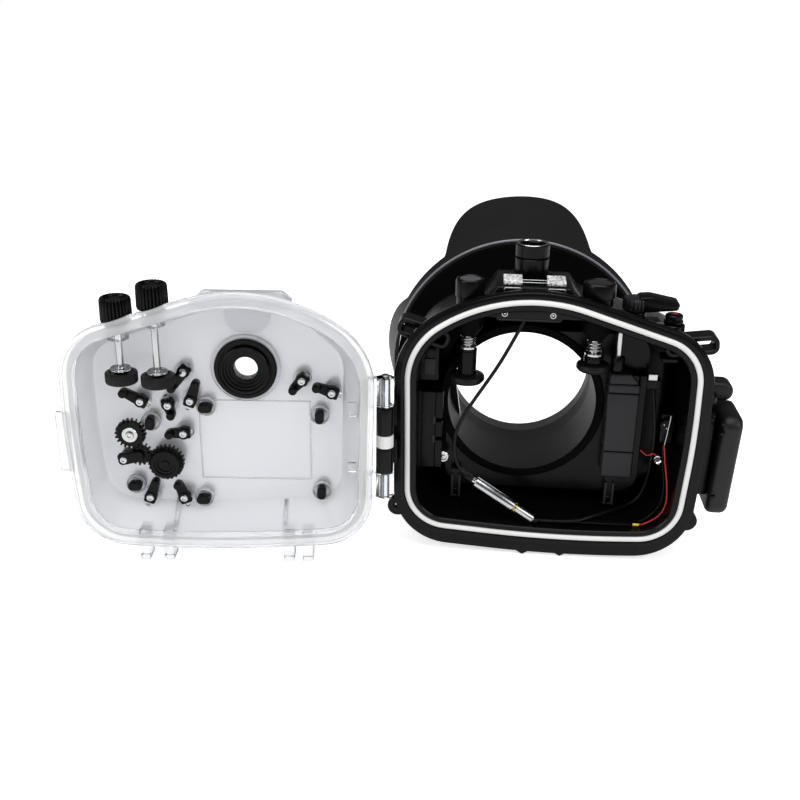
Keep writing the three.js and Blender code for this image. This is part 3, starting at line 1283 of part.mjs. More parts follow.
// The front body takes the seats of all that it carries: glands, pockets, holes and the paddle's boss
const PADDLE_BOSS_R = 6;
const PADDLE_BOSS_LOW = 54;
const paddleBoss = at(cylinder(PADDLE_BOSS_R, PADDLE_BOSS_LOW, PADDLE_Z[0] - GAP, 20), PADDLE_X, PADDLE_Y, 0);
const topBlock = box(...TOP_BLOCK_X, ...TOP_BLOCK_Y, ...TOP_BLOCK_Z);
const holeAlongZ = (r, x, y, z0, z1) => at(cylinder(r, z0, z1, 14), x, y, 0);
const recordStop = RECORD_LOW + RECORD_PLATE_THICK + OVERRUN;
const bodyCuts = [
  holeAlongZ(VALVE_STEM_R + GAP, VALVE_X, VALVE_Y, SCREW_BLOCK_Z - SCREW_BLOCK_DEPTH, PLATFORM_TOP + OVERRUN),
  holeAlongZ(SHAFT_R + SHAFT_CLEAR, PADDLE_X, PADDLE_Y, PADDLE_Z[0] - PADDLE_PIN - GAP, PADDLE_Z[0]),
  holeAlongZ(ROD_R + SHAFT_CLEAR, ROD_X, ROD_Y, ROD_HUB_Z[1] + OVERRUN, ROD_Z[1]),
  holeAlongZ(SHAFT_R + SHAFT_CLEAR, RECORD_X, RECORD_Y, recordStop, RECORD_Z[1]),
];
const body = cut(
  join(
    cut(
      join(bodyOutside, paddleBoss, topBlock, ...DIALS.map(dialSpot)),
      inside,
      groove,
      knuckleBore,
      lugHole(LUG_LEFT, LUG_R),
      lugHole(LUG_RIGHT, -LUG_R),
      ...DIALS.map(dialPocket),
    ),
    screwBlock,
    ...DIALS.map(dialGland),
  ),
  boreCut,
  ...DIALS.map(dialBore),
  ...bodyCuts,
);
add("front_body", body, blackCoat());

export default root;
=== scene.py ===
"""Looks of an open underwater camera housing: black body with a domed port, clear cover swung out."""
import math

import bmesh
import bpy
import numpy as np
from mathutils import Matrix, Vector


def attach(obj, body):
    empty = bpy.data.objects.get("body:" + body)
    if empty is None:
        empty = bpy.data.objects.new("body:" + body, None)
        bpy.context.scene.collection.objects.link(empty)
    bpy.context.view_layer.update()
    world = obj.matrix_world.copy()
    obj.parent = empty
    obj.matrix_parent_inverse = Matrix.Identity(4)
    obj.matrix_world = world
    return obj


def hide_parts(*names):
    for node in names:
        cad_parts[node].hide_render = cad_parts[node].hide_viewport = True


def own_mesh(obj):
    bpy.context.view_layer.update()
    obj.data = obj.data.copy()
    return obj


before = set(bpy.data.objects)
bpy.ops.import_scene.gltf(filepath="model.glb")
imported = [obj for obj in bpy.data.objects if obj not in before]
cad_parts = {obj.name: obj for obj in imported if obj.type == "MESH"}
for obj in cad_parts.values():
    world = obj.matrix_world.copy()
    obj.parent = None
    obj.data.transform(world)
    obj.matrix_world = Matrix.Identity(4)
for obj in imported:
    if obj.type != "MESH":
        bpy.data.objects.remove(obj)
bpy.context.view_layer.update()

# Camera
# A normal lens seen slightly from above and behind the housing, with the body right of the middle.
# Its place and turn follow the photograph's own perspective.
PHOTO_PX = 800
FOCAL_PX = 1048
SENSOR_MM = 36
CAMERA_SPOT = Vector((-0.0256, -0.5899, 0.3196))
YAW = math.radians(4.6)
PITCH = math.radians(22.0)
ROLL = math.radians(-0.94)


def camera_axes(yaw, pitch, roll):
    """Right, up and back axes of a camera turned by yaw, tilted down by pitch and rolled about its sight."""
    right = Vector((math.cos(yaw), math.sin(yaw), 0))
    sight = Vector((-math.sin(yaw) * math.cos(pitch), math.cos(yaw) * math.cos(pitch), -math.sin(pitch)))
    down = sight.cross(right)
    rolled_right = math.cos(roll) * right + math.sin(roll) * down
    rolled_down = math.cos(roll) * down - math.sin(roll) * right
    return rolled_right, -rolled_down, -sight


lens = bpy.data.cameras.new("camera")
lens.sensor_width = SENSOR_MM
lens.lens = FOCAL_PX / PHOTO_PX * SENSOR_MM
lens.clip_start = 0.01
camera = bpy.data.objects.new("camera", lens)
turn = Matrix(camera_axes(YAW, PITCH, ROLL)).transposed()
camera.matrix_world = Matrix.Translation(CAMERA_SPOT) @ turn.to_4x4()
bpy.context.scene.collection.objects.link(camera)
bpy.context.scene.camera = camera

# Room
# A white sweep with a large soft lamp above and two weaker ones at the sides, as in a product booth.
# The backdrop is white to the lens and through glass, and dim in reflections, which the lamps light.
WHITE_ROOM = (1.0, 1.0, 1.0, 1.0)
ROOM_LEVEL = 0.5
GLOSS_LEVEL = 0.09
FLOOR_GLOW = 0.64
FLOOR_HALF = 6.0


def hex_colour(code):
    """Linear red, green, blue and a full alpha from an sRGB hex value."""
    parts = [((code >> shift) & 255) / 255 for shift in (16, 8, 0)]
    line = [c / 12.92 if c <= 0.04045 else ((c + 0.055) / 1.055) ** 2.4 for c in parts]
    return (*line, 1.0)


def node(tree, kind, settings=None, links=None):
    """Add a node of a kind, set its values by socket or attribute name, and link its inputs."""
    made = tree.nodes.new(kind)
    for key, value in (settings or {}).items():
        if isinstance(key, int) or key in made.inputs:
            made.inputs[key].default_value = value
        else:
            setattr(made, key, value)
    for key, source in (links or {}).items():
        tree.links.new(source, made.inputs[key])
    return made


world = bpy.data.worlds.new("booth")
bpy.context.scene.world = world
world.use_nodes = True
sky = world.node_tree
sky.nodes.clear()
seen = node(sky, "ShaderNodeLightPath")
plain = node(sky, "ShaderNodeBackground", {"Color": WHITE_ROOM, "Strength": ROOM_LEVEL})
bright = node(sky, "ShaderNodeBackground", {"Color": WHITE_ROOM, "Strength": 1.0})
either = node(sky, "ShaderNodeMath", {"operation": "MAXIMUM"},
              {0: seen.outputs["Is Camera Ray"], 1: seen.outputs["Is Transmission Ray"]})
dim = node(sky, "ShaderNodeBackground", {"Color": WHITE_ROOM, "Strength": GLOSS_LEVEL})
gloss_pick = node(sky, "ShaderNodeMixShader", {},
                  {0: seen.outputs["Is Glossy Ray"], 1: plain.outputs[0], 2: dim.outputs[0]})
pick = node(sky, "ShaderNodeMixShader", {},
            {0: either.outputs[0], 1: gloss_pick.outputs[0], 2: bright.outputs[0]})
node(sky, "ShaderNodeOutputWorld", {}, {"Surface": pick.outputs[0]})


def surface(name, rows, faces, smooth=True):
    """A mesh object from an array of points and a list of faces, turned outward if it came inside out."""
    mesh = bpy.data.meshes.new(name)
    mesh.from_pydata(np.asarray(rows, float).reshape(-1, 3).tolist(), [], faces)
    probe = bmesh.new()
    probe.from_mesh(mesh)
    if probe.calc_volume(signed=True) < 0:
        mesh.flip_normals()
    probe.free()
    mesh.update()
    if smooth:
        mesh.polygons.foreach_set("use_smooth", [True] * len(mesh.polygons))
    made = bpy.data.objects.new(name, mesh)
    bpy.context.scene.collection.objects.link(made)
    return made


def floor_material():
    """White sweep: white to the lens, and a pale matt card that takes the object's shadow."""
    made = bpy.data.materials.new("white_sweep")
    made.use_nodes = True
    tree = made.node_tree
    tree.nodes.clear()
    card = node(tree, "ShaderNodeBsdfDiffuse", {"Color": hex_colour(0xF4F4F4)})
    glow = node(tree, "ShaderNodeEmission", {"Color": WHITE_ROOM, "Strength": FLOOR_GLOW})
    path = node(tree, "ShaderNodeLightPath")
    clear = node(tree, "ShaderNodeMath", {"operation": "MAXIMUM"},
                 {0: path.outputs["Is Camera Ray"], 1: path.outputs["Is Transmission Ray"]})
    none = node(tree, "ShaderNodeEmission", {"Color": WHITE_ROOM, "Strength": 0.0})
    lift = node(tree, "ShaderNodeMixShader", {},
                {0: clear.outputs[0], 1: none.outputs[0], 2: glow.outputs[0]})
    both = node(tree, "ShaderNodeAddShader", {}, {0: card.outputs[0], 1: lift.outputs[0]})
    node(tree, "ShaderNodeOutputMaterial", {}, {"Surface": both.outputs[0]})
    return made


floor_corners = [(-FLOOR_HALF, -FLOOR_HALF, 0), (FLOOR_HALF, -FLOOR_HALF, 0),
                 (FLOOR_HALF, FLOOR_HALF, 0), (-FLOOR_HALF, FLOOR_HALF, 0)]
floor = surface("sweep", floor_corners, [(0, 1, 2, 3)], smooth=False)
floor.data.materials.append(floor_material())


def lamp(name, place, aim, size, watts):
    """A square soft lamp that faces a point."""
    light = bpy.data.lights.new(name, "AREA")
    light.size = size
    light.energy = watts
    made = bpy.data.objects.new(name, light)
    made.location = place
    made.rotation_euler = (Vector(aim) - Vector(place)).to_track_quat("-Z", "Y").to_euler()
    bpy.context.scene.collection.objects.link(made)


lamp("top_lamp", (-0.1, -0.2, 1.1), (-0.05, 0, 0.05), 1.0, 9)
lamp("left_lamp", (-1.0, -0.7, 0.6), (-0.05, 0, 0.08), 0.7, 5)
lamp("right_lamp", (0.9, -0.6, 0.7), (0.0, 0, 0.08), 0.6, 4)
bpy.context.scene.view_settings.view_transform = "Standard"

# Front casting
# One aluminium casting: a deep tray with a flanged rim, a groove for the seal and a collar round the port.
# It is drawn in millimetres: y runs from the seal's plane towards the port, and z up from near its axis.
SEAL_HEIGHT = 85.0
PAD_Y = 40.0
PORT_Z = 1.2
BORE_R = 44.3
# Each corner's x and z, and the radius that rounds it; long radii are the gently bowed sides.
SEAL_CORNERS = [(-64.4, -66.1, 24), (26, -72.4, 690), (92.5, -68.3, 24), (96.6, -4.7, 500), (95.5, 47.2, 26),
                (-11.4, 81.4, 93), (-66.3, 43.8, 39)]
FLANGE_CORNERS = [(-64.4, -70.3, 26), (26, -76.4, 690), (92.5, -72.4, 26), (96.6, -4.7, 500),
                  (95.5, 45.4, 26), (-11.4, 79.3, 93), (-66.3, 42, 39)]
ARC_STEPS = 22
# Faint clouds of tone and gloss about 36 mm wide, as from handling. Each finish's own grain is drawn a few
# times coarser than the real one, which would be too fine to show.
CLOUDS_PER_M = 28.0
TONE_SWING = 0.14


def finish(name, colour, rough, metal=0.0, grain_mm=0.6, relief_mm=0.04, rough_swing=0.08,
           settings=None):
    """A solid surface: a fine grain lifts it, and a wide cloud shifts its tone and its gloss a little."""
    made = bpy.data.materials.new(name)
    made.use_nodes = True
    tree = made.node_tree
    shader = tree.nodes["Principled BSDF"]
    shader.inputs["Metallic"].default_value = metal
    for key, value in (settings or {}).items():
        shader.inputs[key].default_value = value
    place = node(tree, "ShaderNodeTexCoord")
    grain = node(tree, "ShaderNodeTexNoise", {"Scale": 1000 / grain_mm, "Detail": 3.0, "Roughness": 0.6},
                 {"Vector": place.outputs["Object"]})
    cloud = node(tree, "ShaderNodeTexNoise", {"Scale": CLOUDS_PER_M, "Detail": 2.0},
                 {"Vector": place.outputs["Object"]})
    gloss = node(tree, "ShaderNodeMapRange", {"To Min": rough - rough_swing, "To Max": rough + rough_swing},
                 {"Value": cloud.outputs["Fac"]})
    tree.links.new(gloss.outputs["Result"], shader.inputs["Roughness"])
    line = hex_colour(colour)
    darker = tuple(c * (1 - TONE_SWING) for c in line[:3]) + (1.0,)
    lighter = tuple(min(1.0, c * (1 + TONE_SWING)) for c in line[:3]) + (1.0,)
    tone = node(tree, "ShaderNodeMix", {"data_type": "RGBA"}, {0: cloud.outputs["Fac"]})
    tone.inputs[6].default_value = darker
    tone.inputs[7].default_value = lighter
    tree.links.new(tone.outputs[2], shader.inputs["Base Color"])
    bump = node(tree, "ShaderNodeBump", {"Strength": 0.5, "Distance": relief_mm / 1000},
                {"Height": grain.outputs["Fac"]})
    tree.links.new(bump.outputs["Normal"], shader.inputs["Normal"])
    return made


# Blasted and dyed aluminium: deep black with a soft, even shine and a very fine grain. Its index is held
# low, as in the other blacks, so that the black stays deep under white light.
black_anodised = finish("black_anodised_aluminium", 0x060607, rough=0.24, grain_mm=0.35, relief_mm=0.02,
                        rough_swing=0.05, settings={"IOR": 1.28})


def on_body(points):
    """Points in the casting's millimetres moved to the frame's metres."""
    moved = np.asarray(points, float).reshape(-1, 3) + (0.0, -PAD_Y, SEAL_HEIGHT)
    return moved / 1000


def outline(corners, offset, steps=ARC_STEPS):
    """Points round a polygon with rounded corners: each corner is an arc about its fillet's centre."""
    spots = np.array(corners, float)
    after = np.roll(spots, -1, axis=0)[:, :2] - spots[:, :2]
    after /= np.linalg.norm(after, axis=1, keepdims=True)
    before = np.roll(after, 1, axis=0)
    out_after = np.stack([after[:, 1], -after[:, 0]], axis=1)
    out_before = np.roll(out_after, 1, axis=0)
    bend = np.arccos(np.clip((after * before).sum(axis=1), -1, 1))
    middle = out_after + out_before
    middle /= np.linalg.norm(middle, axis=1, keepdims=True)
    centre = spots[:, :2] - middle * (spots[:, 2] / np.cos(bend / 2))[:, None]
    start = np.arctan2(out_before[:, 1], out_before[:, 0])
    angle = start[:, None] + bend[:, None] * np.linspace(0, 1, steps + 1)
    reach = (spots[:, 2] + offset)[:, None]
    x = centre[:, 0:1] + reach * np.cos(angle)
    z = centre[:, 1:2] + reach * np.sin(angle)
    return np.stack([x.ravel(), z.ravel()], axis=1)


def grid_faces(rows, cols, close_rows=False):
    """Four-cornered faces of a grid whose columns run round and close; the rows may close too."""
    r = np.arange(rows if close_rows else rows - 1)
    c = np.arange(cols)
    a, b = np.meshgrid(r, c, indexing="ij")
    over = (a + 1) % rows
    along = (b + 1) % cols
    quads = np.stack([a * cols + b, a * cols + along, over * cols + along, over * cols + b], axis=-1)
    return quads.reshape(-1, 4).tolist()


def skin(name, rings, place, close_rows=True, sharp=35):
    """A closed surface through rings of points in millimetres; open ends are capped with one flat face."""
    stack = np.asarray(rings, float)
    rows, cols = stack.shape[:2]
    faces = grid_faces(rows, cols, close_rows)
    if not close_rows:
        faces.append(list(range(cols))[::-1])
        faces.append(list(range((rows - 1) * cols, rows * cols)))
    made = surface(name, place(stack), faces)
    made.data.set_sharp_from_angle(angle=math.radians(sharp))
    return made


def dress(piece, look, body, *nodes):
    """Give a piece its finish, the body it moves with and the solids it stands for."""
    piece.data.materials.append(look)
    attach(piece, body)
    if nodes:
        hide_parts(*nodes)


def rim_ring(offset, y, corners=SEAL_CORNERS):
    """The outline at an offset, set at one depth."""
    flat = outline(corners, offset)
    return np.stack([flat[:, 0], np.full(len(flat), y), flat[:, 1]], axis=1)


def round_ring(radius, y, centre=(0.0, PORT_Z), corners=SEAL_CORNERS):
    """A circle about a point, by default the port's axis, whose points face those of an outline."""
    flat = outline(corners, 0) - centre
    angle = np.arctan2(flat[:, 1], flat[:, 0])
    x = centre[0] + radius * np.cos(angle)
    z = centre[1] + radius * np.sin(angle)
    return np.stack([x, np.full(len(angle), y), z], axis=1)


casting_rings = [round_ring(BORE_R, 69), round_ring(55.5, 69), round_ring(56, 68.5), round_ring(56, 66),
                 rim_ring(-6.5, 66), rim_ring(-3.6, 65), rim_ring(-1.4, 62), rim_ring(-0.1, 57.5),
                 rim_ring(0.5, 52), rim_ring(2.5, 12), rim_ring(2.8, 6.6), rim_ring(7, 6.2, FLANGE_CORNERS),
                 rim_ring(7.7, 5.9, FLANGE_CORNERS), rim_ring(8, 5.3, FLANGE_CORNERS),
                 rim_ring(8, 2.2, FLANGE_CORNERS), rim_ring(7.8, 1.6, FLANGE_CORNERS),
                 rim_ring(7.1, 1.3, FLANGE_CORNERS), rim_ring(5, 1.1), rim_ring(5, 0.5), rim_ring(4.8, 0.15),
                 rim_ring(4.4, 0), rim_ring(2.3, 0), rim_ring(1.9, 0.3), rim_ring(1.9, 2.6),
                 rim_ring(-1.9, 2.6), rim_ring(-1.9, 0.3), rim_ring(-2.3, 0), rim_ring(-4.4, 0),
                 rim_ring(-5, 0.6), rim_ring(-5, 8), rim_ring(-7, 55), rim_ring(-8.2, 60.5),
                 rim_ring(-11, 62), round_ring(48.8, 62), round_ring(48.8, 63), round_ring(BORE_R, 63)]
casting = skin("front_casting", casting_rings, on_body)
dress(casting, black_anodised, "housing", "front_body")

# Seal
# A white silicone cord, round in section, that sits in the rim's groove and stands a little proud of it.
# The cover's rim presses on it all round when the housing is shut.
SEAL_R = 1.6
SEAL_Y = 0.7
seal_turns = np.linspace(0, 2 * math.pi, 20, endpoint=False)
seal_rings = [rim_ring(SEAL_R * math.cos(a), SEAL_Y - SEAL_R * math.sin(a)) for a in seal_turns]
# Cured silicone: opaque white with a faint waxy shine.
white_silicone = finish("white_silicone", 0xDADAD8, rough=0.42, grain_mm=0.4, relief_mm=0.02,
                        rough_swing=0.05)
dress(skin("silicone_seal", seal_rings, on_body, sharp=80), white_silicone, "housing", "seal_ring")

# Port tube
# A turned tube with a stepped mounting ring behind and a round back plate, which carries dome and shade.
# A lens ring lines its front and a liner its bore, all dull, so that no light strays to the lens.
ROUND_STEPS = 128


def spun(name, profile, centre, axis, place, steps=40, closed=True, ribs=0, rib_mm=0.0, sharp=30):
    """A turned piece: radius times cosine and sine about a line; ribs lower the radius between crests."""
    line = np.array([(*p, 0) if len(p) < 3 else p for p in profile], float)
    angle = np.linspace(0, 2 * math.pi, steps, endpoint=False)
    crest = np.sqrt(0.5 + 0.5 * np.cos(ribs * angle)) if ribs else np.ones(steps)
    radius = line[:, 0:1] - rib_mm * line[:, 2:3] * (1 - crest)
    height = np.broadcast_to(line[:, 1:2], (len(line), steps))
    first = radius * np.cos(angle)
    second = radius * np.sin(angle)
    columns = {"x": (height, first, second), "y": (first, height, second), "z": (first, second, height)}[axis]
    rings = np.stack(columns, axis=-1) + np.asarray(centre, float)
    return skin(name, rings, place, close_rows=closed, sharp=sharp)


# Matt black paint in the tube: it swallows light and shows no highlight.
baffle_black = finish("matt_black_baffle", 0x040405, rough=0.6, grain_mm=0.3, relief_mm=0.02,
                      rough_swing=0.04, settings={"IOR": 1.15})
# A blasted ring in a thinner dye: a shade greyer than the tube round it.
grey_anodised = finish("grey_anodised_aluminium", 0x121315, rough=0.5, grain_mm=0.3, relief_mm=0.02,
                       rough_swing=0.05, settings={"IOR": 1.2})
# A satin liner: black with a soft sheen along the bore.
collar_satin = finish("satin_black_liner", 0x040405, rough=0.46, grain_mm=0.4, relief_mm=0.02,
                      rough_swing=0.03, settings={"IOR": 1.11})
DISC_R = 79.4
DISC_Y = 105.0
tube_profile = [(BORE_R, 69.3), (55.6, 69.3), (56, 69.7), (56, 75.8), (55.4, 76.3), (51.5, 76.6),
                (50.2, 77.4), (50, 79.3), (50, 93), (50.6, 95), (52, 96.6), (54, 97.6), (56, 98), (78.6, 98),
                (DISC_R, 98.8), (DISC_R, DISC_Y), (46.8, DISC_Y), (46.8, 92), (44.4, 92)]
dress(spun("port_tube", tube_profile[::-1], (0, 0, PORT_Z), "y", on_body, ROUND_STEPS), baffle_black,
      "housing", "port_base")
ring_profile = [(44.7, 92.6), (45, 92.3), (46.5, 92.3), (46.5, DISC_Y), (45.2, DISC_Y), (44.7, 104.2)]
dress(spun("lens_ring", ring_profile[::-1], (0, 0, PORT_Z), "y", on_body, ROUND_STEPS), grey_anodised,
      "housing", "port_front_ring")
collar_profile = [(43.6, 31.6), (44.1, 31), (48, 31), (48.5, 31.6), (48.5, 61.5), (44.2, 61.6), (44.2, 73.6),
                  (43.6, 73.6)]
dress(spun("port_collar_ring", collar_profile, (0, 0, PORT_Z), "y", on_body, ROUND_STEPS), collar_satin,
      "housing", "port_collar")

# Dome
# A polished acrylic dome blown to one radius, with an even wall and a flat seat on the back plate.
# It stands inside the hoop of the petal shade.
DOME_R = 78.0
DOME_BASE_R = 75.0
DOME_WALL = 3.5
DOME_SEAT_Y = 105.3
dome_centre = DOME_SEAT_Y - math.sqrt(DOME_R ** 2 - DOME_BASE_R ** 2)


def clear_finish(name, colour, rough, index=1.45, clear=1.0, flow_per_m=45.0, swing=0.3):
    """A clear plastic or glass: some or all of the light goes through, and flow marks vary its gloss."""
    made = bpy.data.materials.new(name)
    made.use_nodes = True
    tree = made.node_tree
    shader = tree.nodes["Principled BSDF"]
    shader.inputs["Base Color"].default_value = hex_colour(colour)
    shader.inputs["Transmission Weight"].default_value = clear
    shader.inputs["IOR"].default_value = index
    place = node(tree, "ShaderNodeTexCoord")
    flow = node(tree, "ShaderNodeTexNoise", {"Scale": flow_per_m, "Detail": 3.0},
                {"Vector": place.outputs["Object"]})
    gloss = node(tree, "ShaderNodeMapRange", {"To Min": rough * (1 - swing), "To Max": rough * (1 + swing)},
                 {"Value": flow.outputs["Fac"]})
    tree.links.new(gloss.outputs["Result"], shader.inputs["Roughness"])
    return made


def dome_line(radius):
    """Points from the seat to the crown on a circle of that radius."""
    start = math.asin((DOME_SEAT_Y - dome_centre) / radius)
    angle = np.linspace(start, math.pi / 2 - 0.004, 40)
    return np.stack([radius * np.cos(angle), dome_centre + radius * np.sin(angle)], axis=1)


# Polished acrylic: clear to the edge. Its index is held low, so that the thin wall hardly bends the view.
clear_acrylic = clear_finish("polished_acrylic_dome", 0xFCFDFD, rough=0.01, index=1.1)
dome_profile = np.concatenate([dome_line(DOME_R), dome_line(DOME_R - DOME_WALL)[::-1]])
dress(spun("acrylic_dome", dome_profile, (0, 0, PORT_Z), "y", on_body, ROUND_STEPS, sharp=50), clear_acrylic,
      "housing", "dome")

# Petal shade
# A moulded black sunshade: a hoop clamped on the back plate that flares into a long petal above, two
# middling ones at the sides and a short one below, with a rounded edge all along.
SHADE_WALL = 2.8
SHADE_SLOPE = 0.19
SHADE_VALLEY = 8.0
HOOP_BACK = 98.0
# Each petal's middle and half width in degrees, the power that squares its tip, and its length.
PETALS = [(-4, 33.5, 4.5, 68), (92, 31, 2, 39), (-94, 31, 2, 39), (180, 33.5, 4.5, 10)]
SHADE_TURNS = 360


def shade_reach(turns):
    """Length past the back plate: the valley's plus each petal's rise times one less a power of the angle."""
    reach = np.full(turns.shape, SHADE_VALLEY)
    for middle, half, power, length in PETALS:
        share = np.abs((turns - middle + 180) % 360 - 180) / half
        reach += (length - SHADE_VALLEY) * np.clip(1 - share ** power, 0, None)
    return reach


shade_turns = np.linspace(0, 360, SHADE_TURNS, endpoint=False)
reach = shade_reach(shade_turns)
inner = DISC_R + 0.3
shade_rings = []
for share in np.linspace(0, 1, 14):
    shade_rings.append((inner + share * reach * SHADE_SLOPE, DISC_Y + share * (reach - SHADE_WALL / 2)))
for bend in np.linspace(-70, 70, 6):
    lip = (1 + math.sin(math.radians(bend))) * SHADE_WALL / 2
    nose = math.cos(math.radians(bend)) * SHADE_WALL / 2
    shade_rings.append((inner + reach * SHADE_SLOPE + lip, DISC_Y + reach - SHADE_WALL / 2 + nose))
for share in np.linspace(1, 0, 14):
    shade_rings.append((inner + SHADE_WALL + share * reach * SHADE_SLOPE,
                        DISC_Y + share * (reach - SHADE_WALL / 2)))
shade_rings.append((np.full(reach.shape, inner + SHADE_WALL), np.full(reach.shape, HOOP_BACK + 0.6)))
shade_rings.append((np.full(reach.shape, inner + SHADE_WALL - 0.6), np.full(reach.shape, HOOP_BACK)))
shade_rings.append((np.full(reach.shape, inner), np.full(reach.shape, HOOP_BACK)))
shade_sine = np.sin(np.radians(shade_turns))
shade_cosine = np.cos(np.radians(shade_turns))
shade_grid = [np.stack([r * shade_sine, y, PORT_Z + r * shade_cosine], axis=1) for r, y in shade_rings]
# Moulded ABS from a fine-textured mould: black with a broad, soft highlight.
satin_abs = finish("satin_black_abs", 0x111113, rough=0.44, grain_mm=0.4, rough_swing=0.05,
                   settings={"IOR": 1.4})
dress(skin("petal_sunshade", shade_grid, on_body, sharp=50), satin_abs, "housing", "petal_shade")
# The hoop's rim: a thin light grey line, a painted highlight for the light that the rim catches.
painted_highlight_edge = finish("painted_highlight_hoop_edge", 0x77797D, rough=0.25, grain_mm=0.4, relief_mm=0.02,
                   rough_swing=0.04)
edge_line = [(DISC_R + 2.2, 97.6), (DISC_R + 3.0, 97.6), (DISC_R + 3.3, 97.9), (DISC_R + 3.3, 98.9),
             (DISC_R + 2.2, 98.9)]
dress(spun("shade_hoop_edge", edge_line, (0, 0, PORT_Z), "y", on_body, 192), painted_highlight_edge, "housing")

# Rim fittings
# Cast with the body: two strap eyes, two round ears by the lower corners, the hinge arms with their
# knuckles, the top platform and the flat foot. Their edges are rounded like the mould's.
HINGE_X = -77.3
HINGE_Y = -10.0
KNUCKLE_R = 5.0
# Lower and upper end of each of the body's two knuckles.
HINGE_SPANS = [(-5, 11.7), (-28.7, -13)]
# For each axis across a block: which of its span's six limits are its outline's and which its faces'.
AXES = {"x": (2, 3, 4, 5, 0, 1), "y": (0, 1, 4, 5, 2, 3), "z": (0, 1, 2, 3, 4, 5)}


def slab(name, corners, low, high, place, axis="y", edge=0.6, steps=6):
    """A plate whose outline draws in along a quarter circle at each face, so that its edges are rounded."""
    bend = np.linspace(0, math.pi / 2, 4)
    inset = edge * (np.sin(bend) - 1)
    rise = edge * (1 - np.cos(bend))
    offsets = np.concatenate([inset, inset[::-1]])
    levels = np.concatenate([low + rise, high - rise[::-1]])
    rings = []
    for offset, level in zip(offsets, levels):
        flat = outline(corners, offset, steps)
        depth = np.full(len(flat), level)
        order = {"x": (depth, flat[:, 0], flat[:, 1]), "y": (flat[:, 0], depth, flat[:, 1]),
                 "z": (flat[:, 0], flat[:, 1], depth)}[axis]
        rings.append(np.stack(order, axis=1))
    return skin(name, rings, place, close_rows=False)


def block(name, span, place, axis="y", corner=1.0, edge=0.5):
    """A rounded block between x0, x1, y0, y1, z0 and z1, drawn as a plate across one axis."""
    u0, u1, v0, v1, low, high = [span[i] for i in AXES[axis]]
    corners = [(u0, v0, corner), (u1, v0, corner), (u1, v1, corner), (u0, v1, corner)]
    return slab(name, corners, low, high, place, axis, edge)


def barrel(radius, low, high, edge=0.5):
    """Profile of a solid cylinder with rounded rims."""
    return [(radius - edge, low), (radius - edge * 0.3, low + edge * 0.3), (radius, low + edge),
            (radius, high - edge), (radius - edge * 0.3, high - edge * 0.3), (radius - edge, high)]


def eye_profile(hole, radius, low, high, edge=0.6):
    """Profile of a ring with rounded rims."""
    return [(hole, low + edge), (hole + edge, low), (radius - edge, low), (radius, low + edge),
            (radius, high - edge), (radius - edge, high), (hole + edge, high), (hole, high - edge)]


def coat(look, *names):
    """Give its finish to each of the frame's solids that stays in view as it is."""
    for name in names:
        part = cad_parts[name]
        part.data.materials.clear()
        part.data.materials.append(look)


# Stainless steel from the lathe: bright, with highlights softened by fine tool marks.
turned_steel = finish("turned_stainless_steel", 0xC9CBCD, rough=0.24, metal=1.0, grain_mm=0.2, relief_mm=0.01,
                      rough_swing=0.05)
coat(turned_steel, "hinge_pin")
coat(white_silicone, "hinge_washer")
for side, x in (("left", -70.4), ("right", 98.5)):
    dress(spun("rim_ear_" + side, eye_profile(2, 6, 1.6, 7), (x, 0, -57), "y", on_body, 40),
          black_anodised, "housing")
for low, high in HINGE_SPANS:
    tag = "upper" if high > 0 else "lower"
    dress(spun("hinge_knuckle_" + tag, barrel(KNUCKLE_R, low, high), (HINGE_X, HINGE_Y, 0), "z", on_body, 48,
               closed=False), black_anodised, "housing")
    dress(block("hinge_arm_" + tag, (-82.3, -77.6, HINGE_Y, 9, low, high), on_body, "z", 1.2), black_anodised,
          "housing")
    dress(block("hinge_root_" + tag, (-82.3, -68.5, 1.2, 10, low, high), on_body, "z", 1.2), black_anodised,
          "housing")
platform_corners = [(-32, 60, 1.5), (37, 60, 1.5), (23, 78, 2.5), (-18, 78, 2.5)]
dress(slab("top_platform", platform_corners, 8.5, 46, on_body, edge=1.2), black_anodised, "housing")
dress(block("base_foot", (-37, 37, 18, 62, -85, -66), on_body, "z", 6, 1.0), black_anodised, "housing")
dress(block("inner_screw_block", (-18, 18, 1.6, 20, 60.6, 67.6), on_body, "y", 1.5), black_anodised,
      "housing")
dress(block("control_block", (64, 74, 14, 28, 50, 58.5), on_body, "z", 1.5), black_anodised, "housing")

# Back cover
# Clear polycarbonate moulding: a frosted tray with a rounded floor, a polished rim that meets the seal,
# tubes under each pusher, ribs up the walls, and feet and tabs along its edge. It is swung wide open.
COVER_TURN = math.radians(-175.3)
FLOOR_Y = -23.5
COVER_BACK = -27.0
FLOOR_CORNERS = [(-52.4, -52.1, 18), (26, -58.4, 300), (85.5, -54.3, 18), (89.6, -4.7, 500), (88.5, 40.2, 18),
                 (-11.4, 74.4, 60), (-54.3, 36.8, 18)]
EYEPIECE = (1.7, 0.0, 28.7)
EYE_HOLE_R = 16.5
RIM_BACK = -7.1


def on_cover(points):
    """Points given as if the cover were shut, swung about the hinge to its open place."""
    spots = np.asarray(points, float).reshape(-1, 3) - (HINGE_X, HINGE_Y, 0)
    cosine, sine = math.cos(COVER_TURN), math.sin(COVER_TURN)
    x = spots[:, 0] * cosine - spots[:, 1] * sine + HINGE_X
    y = spots[:, 0] * sine + spots[:, 1] * cosine + HINGE_Y
    return on_body(np.stack([x, y, spots[:, 2]], axis=1))


# Clear polycarbonate: glossy and colourless, with faint flow marks from moulding.
clear_polycarbonate = clear_finish("clear_moulded_polycarbonate", 0xF6F8F9, rough=0.06)
